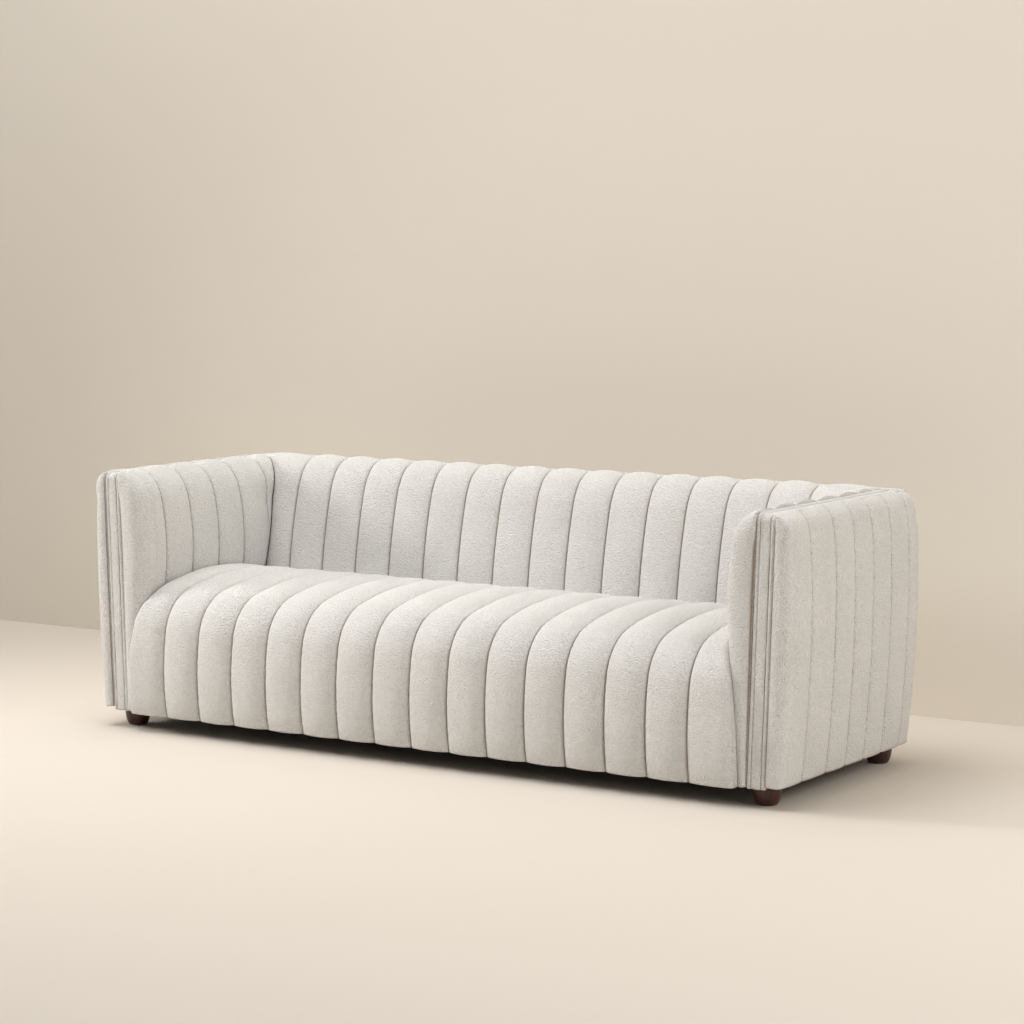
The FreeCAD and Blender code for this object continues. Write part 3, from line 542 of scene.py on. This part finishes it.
def frontEdge(depth, swellOut, radius):
    # the rounded front of an arm panel, from the strip's seam round to its face
    form = edgeShape
    across, lift, ends = [], [], []
    side = np.linspace(0, 1, form["sideSteps"] + 1)[:-1]
    angles = np.radians(np.linspace(0, 90, form["turnSteps"] + 1)[:-1])
    for deep in depth:
        bulge = swellOut * min(1, deep / form["fullDepth"])
        turn = min(radius, form["roundShare"] * deep)
        across.append(np.concatenate([armFrontY - bulge * np.sin(side * math.pi / 2),
                                      armFrontY - bulge + turn * (1 - np.cos(angles))]))
        lift.append(np.concatenate([-deep + side * (deep - turn), -turn + turn * np.sin(angles)]))
        ends.append(armFrontY - (bulge - turn))
    marks = np.zeros_like(np.array(across))
    # painted seam shade along the seam with the strip
    marks[:, :3] = (1, 1, 0.5)
    return (np.array(across), np.array(lift), marks), np.array(ends)


def reach(spots, gap):
    # how deep a panel is along its normal, down to the frame
    return np.maximum(0.006, gap / np.maximum(0.3, np.sin(spots[:, 2])))


def makeInnerArm(side, word):
    form = armForm
    spots = armProfile(profileStep["inner"])
    along, heights = spots[:, 3], spots[:, 1]
    frameX = np.array([armLine(z, -halfStrip) for z in heights])
    depth = reach(spots, frameX - spots[:, 0])
    crown = form["crown"] * easedCrown(along, *form["easing"])
    edge, faceStart = frontEdge(depth, form["frontSwell"], form["frontRound"])
    firstSeam = armFrontY + form["firstSeam"]
    seams = [firstSeam + k * form["seamPitch"] for k in range(4)]
    fill = fillFor(along, form["rollStart"], 1)
    # the last seam runs into the line where the arm and the back meet
    mitre = levelAt(filledBack(profileStep["fitted"]), filledLine(spots, form["rearFill"] * fill)[:, 1])
    lastSeam = np.minimum(firstSeam + 4 * form["seamPitch"], mitre - form["cornerSeamGap"])
    lastCrown = crown * np.clip((mitre - lastSeam) / form["cornerRun"], 0, 1)
    seed = 2000 + 500 * (side > 0)
    # the first channel runs straight into the rounded edge, with no stitching between them
    first = channelRow(along, faceStart, np.full_like(along, firstSeam), crown * 0.6, seed)
    first = fadedRow(first, first[0] - faceStart[:, None], stitched=False)
    rest = channelRows(along, seams, crown, seed + 20)
    fourth = channelRow(along, np.full_like(along, seams[-1]), lastSeam, crown, seed + 80)
    last = channelRow(along, lastSeam, mitre, lastCrown, seed + 90)
    # the painted seam shade is a little lighter on the last channel
    last = pressedEnd((last[0], last[1], last[2] * 0.8), mitre)
    tail = pressedEnd(closingSeam(along, mitre), mitre)
    across, lift, marks = joined([edge, first, rest, fourth, last, tail])
    atFront = np.exp(-((across - armFrontY) / form["frontReach"]) ** 2)
    atFront = atFront * np.clip(1 + lift / depth[:, None], 0, 1)
    atRear = easedStep((across - form["rearStart"]) / form["rearRun"])
    lift = lift + fill[:, None] * (form["frontFill"] * atFront + form["rearFill"] * atRear)
    panel = makePanel(word + "InnerArmCover", spots, (across, lift, marks), depth,
                      lambda w, u, v: placed(side * u, w, v))
    setDown(panel, ivory, [word + "_inner_arm_channels"])


# Back, inside

def makeBack():
    form = backForm
    spots = backProfile(profileStep["inner"])
    along, heights = spots[:, 3], spots[:, 1]
    crown = form["crown"] * easedCrown(along, *form["easing"])
    fill = fillFor(along, form["rollStart"], form["endFill"])
    mitre = levelAt(filledArm(profileStep["fitted"]), filledLine(spots, fill)[:, 1]) - form["topGap"]
    left = pressedEnd(channelRow(along, -mitre, np.full_like(along, seamX[0]), crown * 0.7, 4400), -mitre)
    middle = channelRows(along, seamX, crown, 4000)
    right = pressedEnd(channelRow(along, np.full_like(along, seamX[-1]), mitre, crown * 0.7, 4450), mitre)
    across, lift, marks = joined([left, middle, right, pressedEnd(closingSeam(along, mitre), mitre)])
    lift = lift + fill[:, None] * easedStep((np.abs(across) - form["endStart"]) / form["endRun"])
    depth = np.minimum(form["depth"], reach(spots, backInnerY - spots[:, 0] + 0.001))
    panel = makePanel("backCover", spots, (across, lift, marks), depth, placed)
    setDown(panel, ivory, ["back_channel_cover"])


# Outside panels

outerForm = {
    "tilt": 6.0,
    "lower": (4.213, 6.0),
    "upper": (2.035, 4.0),
    "shoulder": (0.400, 8.0),
    "roll": (0.058, 48.0),
    "gap": 0.001,
    "crown": 0.008,
    "easing": (0.35, 0.05, 0.85, 0.03),
    "frontRound": 0.030,
    "frontSwell": 0.006,
    "seams": (0.123, 0.257, 0.364, 0.471, 0.578, 0.685),
    "backTiltShare": 0.65,
    "cornerRound": 0.045,
    "cornerDrop": 0.005,
    "topDrop": 0.004,
    "rollStart": 0.60,
    "frontFill": 0.010,
    "frontReach": 0.06,
}


def outerProfile(end, share, step):
    radius, turn = outerForm["lower"]
    runs = [(radius / share, turn * share), outerForm["upper"], outerForm["shoulder"], outerForm["roll"]]
    return endingAt(traceRuns(runs, 90 + outerForm["tilt"] * share, step), -end, topZ - outerForm["topDrop"])


def outerArmProfile(step):
    return outerProfile(armLine(topZ - outerForm["topDrop"], halfStrip) + outerForm["gap"], 1, step)


def makeOuterArm(side, word):
    form = outerForm
    spots = outerArmProfile(profileStep["outer"])
    along, heights = spots[:, 3], spots[:, 1]
    frameX = np.array([armLine(z, halfStrip) for z in heights])
    depth = reach(spots, -spots[:, 0] - frameX)
    crown = form["crown"] * easedCrown(along, *form["easing"])
    edge, faceStart = frontEdge(depth, form["frontSwell"], form["frontRound"])
    seams = [armFrontY + place for place in form["seams"]]
    seed = 6000 + 500 * (side > 0)
    first = channelRow(along, faceStart, np.full_like(along, seams[0]), crown * 0.9, seed)
    first = fadedRow(first, first[0] - faceStart[:, None], stitched=False)
    rest = channelRows(along, seams, crown, seed + 20)
    # the last channel draws in towards the corner with the outer back
    rear = np.full_like(along, backOuterY)
    last = channelRow(along, np.full_like(along, seams[-1]), rear, crown * 0.8, seed + 90)
    droop = np.linspace(0, -form["cornerDrop"], last[1].shape[1])[None, :]
    last = (last[0], last[1] + droop, last[2])
    end = (rear[:, None], np.full_like(rear[:, None], -form["cornerDrop"]), np.ones_like(rear[:, None]))
    across, lift, marks = joined([edge, first, rest, last, end])
    atFront = np.exp(-((across - armFrontY) / form["frontReach"]) ** 2)
    atFront = atFront * np.clip(1 + lift / depth[:, None], 0, 1)
    lift = lift + fillFor(along, form["rollStart"], form["frontFill"])[:, None] * atFront
    panel = makePanel(word + "OuterArmCover", spots, (across, lift, marks), depth,
                      lambda w, u, v: placed(-side * u, w, v))
    setDown(panel, ivory, [word + "_outer_arm_channels"])


def makeOuterBack():
    form = outerForm
    spots = outerProfile(backOuterY + form["gap"], form["backTiltShare"], profileStep["outer"])
    along, heights = spots[:, 3], spots[:, 1]
    depth = reach(spots, -spots[:, 0] - backOuterY)
    crown = form["crown"] * easedCrown(along, *form["easing"])
    turn = form["cornerRound"]
    end = -levelAt(outerArmProfile(profileStep["fitted"]), heights) - form["cornerDrop"] - turn
    seams = [seamX[0] - sofa["channelPitch"]] + seamX + [seamX[-1] + sofa["channelPitch"]]
    middle = channelRows(along, seams, crown, 8000)
    right = channelRow(along, np.full_like(along, seams[-1]), end, crown * 0.5, 8500)
    right = fadedRow(right, end[:, None] - right[0], stitched=True)
    left = channelRow(along, -end, np.full_like(along, seams[0]), crown * 0.5, 8600)
    left = fadedRow(left, left[0] + end[:, None], stitched=True)
    angles = np.radians(np.linspace(90, 0, 12))
    bendAcross = end[:, None] + turn * np.cos(angles)[None, :]
    bend = (bendAcross, depth[:, None] * (np.sin(angles)[None, :] - 1), np.zeros_like(bendAcross))
    rows = joined([mirroredRow(bend), left, middle, right, bend])
    panel = makePanel("outerBackCover", spots, rows, depth, lambda w, u, v: placed(w, -u, v))
    setDown(panel, ivory, ["outer_back_channels"])


makeSeat()
for side, word in bothSides:
    makeInnerArm(side, word)
    makeOuterArm(side, word)
makeBack()
makeOuterBack()
print("padded covers sewn")


# Boxing strips and piping

stripForm = {
    "panel": 0.027,
    "thickness": 0.008,
    "cornerRadius": 0.018,
    "cord": 0.006,
    "pillow": 0.0016,
    "topDrop": 0.004,
    "seamGap": 0.0002,
    "runSteps": 90,
    "turnSteps": 14,
    "sway": 0.0005,           # how far a hand-sewn line wanders
    "swayRun": 1.4,
    "armSways": (0.11, 0.23, 0.4),
    "backSways": (0.13, 0.31),
}


def sweepTube(name, route, radius, sides=14):
    # a cord along a route of (point, tangent), kept round through its bends
    spots, across = [], None
    for point, along in route:
        if across is None:
            across = Vector((1, 0, 0)) if abs(along.x) < 0.9 else Vector((0, 1, 0))
        across = (across - along * across.dot(along)).normalized()
        other = along.cross(across)
        for a in np.linspace(0, 2 * math.pi, sides, endpoint=False):
            spots.append(tuple(point + radius * (across * math.cos(a) + other * math.sin(a))))
    return makeBody(name, spots, ringFaces(len(route), sides))


def armRoute(side, across, rear, inset, topZHere, seed):
    # up the front of an arm, over its corner and back along the top, as (y, length up the lean, dy, dt)
    form = stripForm
    bend = form["cornerRadius"]
    lean = math.radians(sofa["armSplay"])
    rise = topZHere - floorZ
    centreY, centreT = armFrontY + inset + bend, rise - bend
    flat = [(armFrontY + inset, t, 0.0, 1.0) for t in np.linspace(0, rise - bend, form["runSteps"])]
    for a in np.radians(np.linspace(180, 90, form["turnSteps"])[1:]):
        flat.append((centreY + bend * math.cos(a), centreT + bend * math.sin(a), math.sin(a), -math.cos(a)))
    flat += [(y, rise, 1.0, 0.0) for y in np.linspace(centreY, rear, form["runSteps"])[1:]]
    sway = waver(np.linspace(0, form["swayRun"], len(flat)), seed, form["armSways"], form["sway"])
    route = []
    for (y, t, dy, dt), shift in zip(flat, sway):
        x = sofa["armFootX"] + across + math.sin(lean) * t + shift
        route.append((Vector((side * x, y, floorZ + math.cos(lean) * t)),
                      Vector((side * math.sin(lean) * dt, dy, math.cos(lean) * dt)).normalized()))
    return route


def makeArmTrim(side, word):
    cord = stripForm["cord"]
    line = stripForm["panel"] / 2 + cord
    rearInner = sofa["backCentreY"] - stripForm["panel"] / 2
    rearOuter = sofa["backCentreY"] + stripForm["panel"] / 2 + 2 * cord
    for across, rear, place in ((-line, rearInner, "inner"), (line, rearOuter, "outer")):
        route = armRoute(side, across, rear, cord, topZ - cord, 30 + side + len(place))
        piece = sweepTube(word + place.capitalize() + "Piping", route, cord)
        setDown(piece, ivory, ["%s_arm_%s_piping" % (word, place)])


def makeStrip(side, word):
    # the flat panel between the pipings, a little pillowed
    form = stripForm
    rear = sofa["backCentreY"] + form["panel"] / 2
    route = armRoute(side, 0.0, rear, 0.0, topZ - form["topDrop"], 77)
    half = form["panel"] / 2 - form["seamGap"]
    shares = np.linspace(-1, 1, 13)
    spots = []
    for point, along in route:
        outward = Vector((0, -along.z, along.y)).normalized()
        sideways = outward.cross(along).normalized()
        if sideways.x < 0:
            sideways = -sideways
        for s in shares:
            rise = form["pillow"] * (1 - s ** 4) - form["pillow"]
            spots.append(tuple(point + sideways * (half * s) + outward * rise))
        for s in (1, -1):
            spots.append(tuple(point + sideways * (half * s) - outward * form["thickness"]))
    # painted seam shade along the strip's edges beside the pipings, full on its hidden underside
    marks = ([0.7, 0.1] + [0.0] * (len(shares) - 4) + [0.1, 0.7, 1.0, 1.0]) * len(route)
    piece = makeBody(word + "Strip", spots, ringFaces(len(route), len(shares) + 2), marks)
    turnOutward(piece)
    setDown(piece, ivory, [word + "_arm_strip"])


def makeBackTrim():
    form = stripForm
    cord = form["cord"]
    line = form["panel"] / 2 + cord
    topX = sofa["armFootX"] + math.sin(math.radians(sofa["armSplay"])) * (topZ - cord - floorZ)
    for across, half, word in ((-line, topX - line - 0.0003, "inner"), (line, topX + line - cord, "outer")):
        xs = np.linspace(-half, half, 160)
        sway = waver(xs + half, 41 + len(word), form["backSways"], form["sway"])
        route = [(Vector((x, sofa["backCentreY"] + across + shift, topZ - cord)), Vector((1, 0, 0)))
                 for x, shift in zip(xs, sway)]
        piece = sweepTube("back" + word.capitalize() + "Piping", route, cord)
        setDown(piece, ivory, ["back_%s_piping" % word])


def makeBackStrip():
    # the panel between the back's pipings, a little pillowed
    form = stripForm
    half = form["panel"] / 2 - form["seamGap"]
    level = topZ - form["topDrop"]
    shares = np.linspace(-1, 1, 11)
    reachX = armLine(level) - form["panel"] / 2 - 0.0006
    xs = np.linspace(reachX, -reachX, 120)
    spots = []
    for x in xs:
        spots += [(x, sofa["backCentreY"] + half * s, level - form["pillow"] * s ** 4) for s in shares]
        spots += [(x, sofa["backCentreY"] + half * s, level - form["thickness"]) for s in (1, -1)]
    # painted seam shade along the strip's edges beside the pipings, full on its hidden underside
    marks = ([1.0, 0.4] + [0.0] * (len(shares) - 4) + [0.4, 1.0, 1.0, 1.0]) * len(xs)
    piece = makeBody("backStrip", spots, ringFaces(len(xs), len(shares) + 2), marks)
    setDown(piece, ivory, ["back_top_strip"])


for side, word in bothSides:
    makeArmTrim(side, word)
    makeStrip(side, word)
makeBackTrim()
makeBackStrip()
print("strips and piping sewn")


# Feet

footForm = {
    "places": [(-1.020, -0.309), (-1.020, 0.330), (1.020, -0.309), (1.020, 0.330)],
    "nodes": ["front_left_foot", "rear_left_foot", "front_right_foot", "rear_right_foot"],
    "outline": [(0.0225, 0.0), (0.0255, 0.0014), (0.0290, 0.0060), (0.0325, 0.0150), (0.0350, 0.0260),
                (0.0358, 0.0350), (0.0352, 0.0440), (0.0338, 0.0498)],    # radius and height
    "sides": 48,
}


walnut = grainyFinish("walnutStain", ((0.026, 0.006, 0.004), (0.085, 0.017, 0.010)), 26, (6, 6, 1), 0.38,
                      0.0004, bump=0.15, distortion=0.6)
lacquer = walnut.node_tree.nodes["Principled BSDF"]
lacquer.inputs["Coat Weight"].default_value = 0.12
lacquer.inputs["Coat Roughness"].default_value = 0.25


def makeFoot(place, node):
    sides = footForm["sides"]
    spots = [(place[0] + radius * math.cos(a), place[1] + radius * math.sin(a), high)
             for radius, high in footForm["outline"]
             for a in np.linspace(0, 2 * math.pi, sides, endpoint=False)]
    end, side = node.split("_")[:2]
    piece = makeBody(end + side.capitalize() + "Foot", spots, ringFaces(len(footForm["outline"]), sides))
    setDown(piece, walnut, [node])


for place, node in zip(footForm["places"], footForm["nodes"]):
    makeFoot(place, node)
print("feet turned")


# Inside the sofa

beech = grainyFinish("sawnBeech", ((0.42, 0.27, 0.15), (0.60, 0.43, 0.27)), 9, (1, 1, 6), 0.6, 0.0005)
steel = grainyFinish("springSteel", ((0.22, 0.22, 0.23), (0.36, 0.36, 0.38)), 90, (1, 1, 1), 0.35, 0.0002,
                     metal=1.0)
foam = grainyFinish("cutFoam", ((0.62, 0.56, 0.40), (0.74, 0.69, 0.54)), 420, (1, 1, 1), 0.95, 0.0012)
jute = grainyFinish("juteWebbing", ((0.22, 0.14, 0.07), (0.42, 0.30, 0.17)), 260, (1, 1, 0.2), 0.9, 0.0008)
felt = grainyFinish("pressedFelt", ((0.16, 0.16, 0.16), (0.38, 0.37, 0.36)), 300, (1, 1, 1), 0.95, 0.0010)
lining = grainyFinish("blackLining", ((0.012, 0.012, 0.013), (0.035, 0.035, 0.036)), 500, (1, 1, 1), 0.9,
                      0.0003)

for node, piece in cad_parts.items():
    if "spring" in node or "clips" in node or "bolts" in node:
        finish = steel
    elif "rail" in node or "post" in node or "blocks" in node:
        finish = beech
    else:
        continue
    piece.data.materials.clear()
    piece.data.materials.append(finish)


def makeSlabs(name, outlines, thickness, lay, rounding):
    # slabs cut to an outline, with their edges eased; lay(u, v, w) gives a place
    spots, faces = [], []
    for outline in outlines:
        start, count = len(spots), len(outline)
        spots += [lay(u, v, w) for w in thickness for u, v in outline]
        faces.append(tuple(start + n for n in range(count))[::-1])
        faces.append(tuple(start + count + n for n in range(count)))
        for n in range(count):
            following = (n + 1) % count
            faces.append((start + n, start + following, start + count + following, start + count + n))
    piece = makeBody(name, spots, faces, smooth=False)
    turnOutward(piece)
    ease = piece.modifiers.new("easedEdges", "BEVEL")
    ease.width = rounding
    ease.segments = 3
    ease.limit_method = "ANGLE"
    bpy.ops.object.modifier_apply(modifier=ease.name)
    return piece


inside = {
    "foamGap": 0.0603,
    "seatHalf": 0.912,
    "seatFoamLow": 0.316,
    "seatFoamRear": 0.157,
    "backFoamGap": 0.0483,
    "backHalf": 0.880,
    "backFoamLow": 0.420,
    "backFoamHigh": 0.684,
    "backFoamRear": 0.0006,
    "foamRound": 0.004,
    "armFoam": 0.022,
    "armFoamX": -0.0256,
    "armFoamLevels": (0.060, 0.685),
    "armFoamGaps": (0.012, 0.008),
    "armFoamRound": 0.003,
    "webWidth": 0.050,
    "webThickness": 0.0018,
    "webRound": 0.0005,
    "webLevels": (0.080, 0.702),
    "webX": 0.0226,
    "armWebs": (0.150, 0.330, 0.510),
    "backWebY": 0.3190,
    "backWebPitch": 0.2,
    "backWebs": 9,
}


def hiddenLine(spots, depth):
    # a profile's line at some depth under the cloth
    return filledLine(spots, -depth)[:, :2]


def makeFoams():
    line = hiddenLine(seatProfile(profileStep["hidden"]), inside["foamGap"])
    low, half = inside["seatFoamLow"], inside["seatHalf"]
    line = line[(line[:, 1] > low) & (line[:, 0] < inside["seatFoamRear"])]
    block = [(line[0, 0], low)] + [tuple(spot) for spot in line] + [(line[-1, 0], low)]
    core = makeSlabs("seatFoam", [block], (-half, half), lambda u, v, w: (w, u, v), inside["foamRound"])
    setDown(core, foam, ["seat_foam_core"])

    line = hiddenLine(backProfile(profileStep["hidden"]), inside["backFoamGap"])
    low, half = inside["backFoamLow"], inside["backHalf"]
    line = line[(line[:, 1] > low) & (line[:, 1] < inside["backFoamHigh"])]
    rear = backInnerY - inside["backFoamRear"]
    wedge = [(rear, low), (line[0, 0], low)] + [tuple(spot) for spot in line] + [(rear, line[-1, 1])]
    core = makeSlabs("backFoam", [wedge], (-half, half), lambda u, v, w: (w, u, v), inside["foamRound"])
    setDown(core, foam, ["back_foam_core"])

    low, high = inside["armFoamLevels"]
    front, rear = inside["armFoamGaps"]
    near = inside["armFoamX"]
    far = near - inside["armFoam"]
    corners = ((far, low), (near, low), (near, high), (far, high))
    board = [(armLine(level, across), level) for across, level in corners]
    for side, word in bothSides:
        core = makeSlabs(word + "ArmFoam", [board], (armFrontY + front, backInnerY - rear),
                         lambda u, v, w: (side * u, w, v), inside["armFoamRound"])
        setDown(core, foam, [word + "_arm_foam"])


def strap(start, low, high):
    end = start + inside["webWidth"]
    return [(start, low), (end, low), (end, high), (start, high)]


def makeWebbing():
    low, high = inside["webLevels"]
    thick, rounding = inside["webThickness"], inside["webRound"]
    middle = (inside["backWebs"] - 1) / 2
    starts = [inside["backWebPitch"] * (n - middle) - inside["webWidth"] / 2 for n in range(inside["backWebs"])]
    y = inside["backWebY"]
    web = makeSlabs("backWebbing", [strap(start, low, high) for start in starts], (y, y + thick),
                    lambda u, v, w: (u, w, v), rounding)
    setDown(web, jute, ["back_webbing"])
    straps = [strap(armFrontY + start, low, high) for start in inside["armWebs"]]
    near = -inside["webX"]
    for side, word in bothSides:
        web = makeSlabs(word + "ArmWebbing", straps, (near - thick, near),
                        lambda u, v, w: (side * armLine(v, w), u, v), rounding)
        setDown(web, jute, [word + "_arm_webbing"])


feltForm = {
    "halfX": 0.912,
    "rangeY": (-0.295, 0.158),
    "columns": (153, 20),
    "low": 0.3124,
    "thickness": 0.0032,
    "dip": 0.0003,
    "springPitch": 0.19,
}


def makeInsulator():
    # a felt pad that dips a little between the springs
    form = feltForm
    xs = np.linspace(-form["halfX"], form["halfX"], form["columns"][0])
    ys = np.linspace(*form["rangeY"], form["columns"][1])
    spots, faces = [], []
    for thick in (0.0, form["thickness"]):
        for x in xs:
            dip = form["dip"] * (1 - math.cos(2 * math.pi * x / form["springPitch"])) * (thick > 0)
            spots += [(x, y, form["low"] + thick - dip) for y in ys]
    columns, layer = len(ys), len(xs) * len(ys)
    for i in range(len(xs) - 1):
        for j in range(columns - 1):
            a = i * columns + j
            faces.append((a, a + 1, a + columns + 1, a + columns))
            faces.append((layer + a, layer + a + columns, layer + a + columns + 1, layer + a + 1))
    edge = [i * columns for i in range(len(xs))] + [(len(xs) - 1) * columns + j for j in range(1, columns)]
    edge += [i * columns + columns - 1 for i in range(len(xs) - 2, -1, -1)] + list(range(columns - 2, 0, -1))
    for a, b in zip(edge, edge[1:] + edge[:1]):
        faces.append((a, b, layer + b, layer + a))
    piece = makeBody("seatInsulator", spots, faces, smooth=False)
    setDown(piece, felt, ["seat_insulator_pad"])


dustForm = {
    "low": (-1.043, -0.361),
    "high": (1.043, 0.366),
    "level": 0.0494,
    "halfThickness": 0.0004,
    "hole": 0.0356,
}


def makeDustCover():
    # a cloth stretched under the frame, cut out round the feet
    form = dustForm
    low, high, hole = form["low"], form["high"], form["hole"]
    curve = bpy.data.curves.new("plan", "CURVE")
    curve.dimensions = "2D"
    curve.fill_mode = "BOTH"
    curve.extrude = form["halfThickness"]
    runs = [[(low[0], low[1]), (high[0], low[1]), (high[0], high[1]), (low[0], high[1])]]
    for x, y in footForm["places"]:
        turns = np.linspace(0, 2 * math.pi, 40)[:-1]
        runs.append([(x + hole * math.cos(a), y + hole * math.sin(a)) for a in turns])
    for run in runs:
        spline = curve.splines.new("POLY")
        spline.points.add(len(run) - 1)
        for point, (x, y) in zip(spline.points, run):
            point.co = (x, y, 0, 1)
        spline.use_cyclic_u = True
    plan = bpy.data.objects.new("plan", curve)
    mesh = bpy.data.meshes.new_from_object(plan)
    mesh.transform(Matrix.Translation((0, 0, form["level"])))
    bpy.data.objects.remove(plan)
    piece = bpy.data.objects.new("dustCover", mesh)
    scene.collection.objects.link(piece)
    setDown(piece, lining, ["dust_cover"])


makeFoams()
makeWebbing()
makeInsulator()
makeDustCover()
print("inside filled")


# Room, light and camera

room = {
    "floorColour": (0.68, 0.62, 0.545),
    "wallColour": (0.80, 0.74, 0.645),
    "wallY": 1.03,
    "reach": 9,
    "wallHeight": 6,
    "airColour": (1.0, 0.99, 0.98),
    "airLight": 0.29,
}


def plainFinish(name, colour, roughness):
    material, nodes, links, shader = newMaterial(name)
    shader.inputs["Base Color"].default_value = (*colour, 1)
    shader.inputs["Roughness"].default_value = roughness
    shader.inputs["Specular IOR Level"].default_value = 0.2
    return material


def openFromBehind(material):
    # a backdrop that shows only from its front, so that the sofa's back can be looked at
    nodes, links = material.node_tree.nodes, material.node_tree.links
    clear = nodes.new("ShaderNodeBsdfTransparent")
    facing = nodes.new("ShaderNodeNewGeometry")
    either = nodes.new("ShaderNodeMixShader")
    links.new(facing.outputs["Backfacing"], either.inputs["Fac"])
    links.new(nodes["Principled BSDF"].outputs["BSDF"], either.inputs[1])
    links.new(clear.outputs["BSDF"], either.inputs[2])
    links.new(either.outputs["Shader"], nodes["Material Output"].inputs["Surface"])
    return material


def makeSheetOfRoom(name, corners, material):
    piece = makeBody(name, corners, [(0, 1, 2, 3)], smooth=False)
    piece.data.materials.append(material)
    piece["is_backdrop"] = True


far, wallY, high = room["reach"], room["wallY"], room["wallHeight"]
makeSheetOfRoom("floor", [(-far, -far, 0), (far, -far, 0), (far, far, 0), (-far, far, 0)],
                plainFinish("floorPaint", room["floorColour"], 0.8))
makeSheetOfRoom("backdrop", [(-far, wallY, 0), (far, wallY, 0), (far, wallY, high), (-far, wallY, high)],
                openFromBehind(plainFinish("wallPaint", room["wallColour"], 0.9)))


lamps = {
    "topLamp": {
        "place": (-1.2, -1.0, 6.0), "aim": (0.0, 0.0, 0.3), "size": (4.0, 4.0),
        "watts": 262, "colour": (1.0, 0.99, 0.985), "spread": 180,
    },
    "sideLamp": {
        "place": (-4.8, -1.9, 2.2), "aim": (0.5, -0.5, 0.1), "size": (0.9, 0.9),
        "watts": 17, "colour": (1.0, 0.985, 0.965), "spread": 60,
    },
    "fillLamp": {
        "place": (4.4, -1.2, 2.4), "aim": (0.8, 0.0, 0.4), "size": (2.2, 1.8),
        "watts": 60, "colour": (1.0, 0.995, 0.985), "spread": 180,
    },
}


def softLamp(name, form):
    lamp = bpy.data.lights.new(name, "AREA")
    lamp.shape = "RECTANGLE"
    lamp.size, lamp.size_y = form["size"]
    lamp.energy = form["watts"]
    lamp.color = form["colour"]
    lamp.spread = math.radians(form["spread"])
    holder = bpy.data.objects.new(name, lamp)
    holder.location = form["place"]
    holder.rotation_euler = (Vector(form["aim"]) - Vector(form["place"])).to_track_quat("-Z", "Y").to_euler()
    scene.collection.objects.link(holder)


for name, form in lamps.items():
    softLamp(name, form)
world = bpy.data.worlds.new("studio")
world.use_nodes = True
air = world.node_tree.nodes["Background"]
air.inputs["Color"].default_value = (*room["airColour"], 1)
air.inputs["Strength"].default_value = room["airLight"]
scene.world = world

view = {
    "place": (4.08434, -6.20791, 1.41559),
    "backward": (0.53906, -0.83264, 0.12697),
    "lens": 95.49,
    "sensorWidth": 36.0,
    "shiftY": 0.0636,
    "clipEnd": 60,
}
camera = bpy.data.cameras.new("camera")
camera.lens = view["lens"]
camera.sensor_width = view["sensorWidth"]
camera.shift_y = view["shiftY"]
camera.clip_end = view["clipEnd"]
holder = bpy.data.objects.new("camera", camera)
holder.location = view["place"]
holder.rotation_euler = Vector(view["backward"]).to_track_quat("Z", "Y").to_euler()
scene.collection.objects.link(holder)
scene.camera = holder
scene.view_settings.view_transform = "Standard"
print("room lit")

low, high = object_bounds()
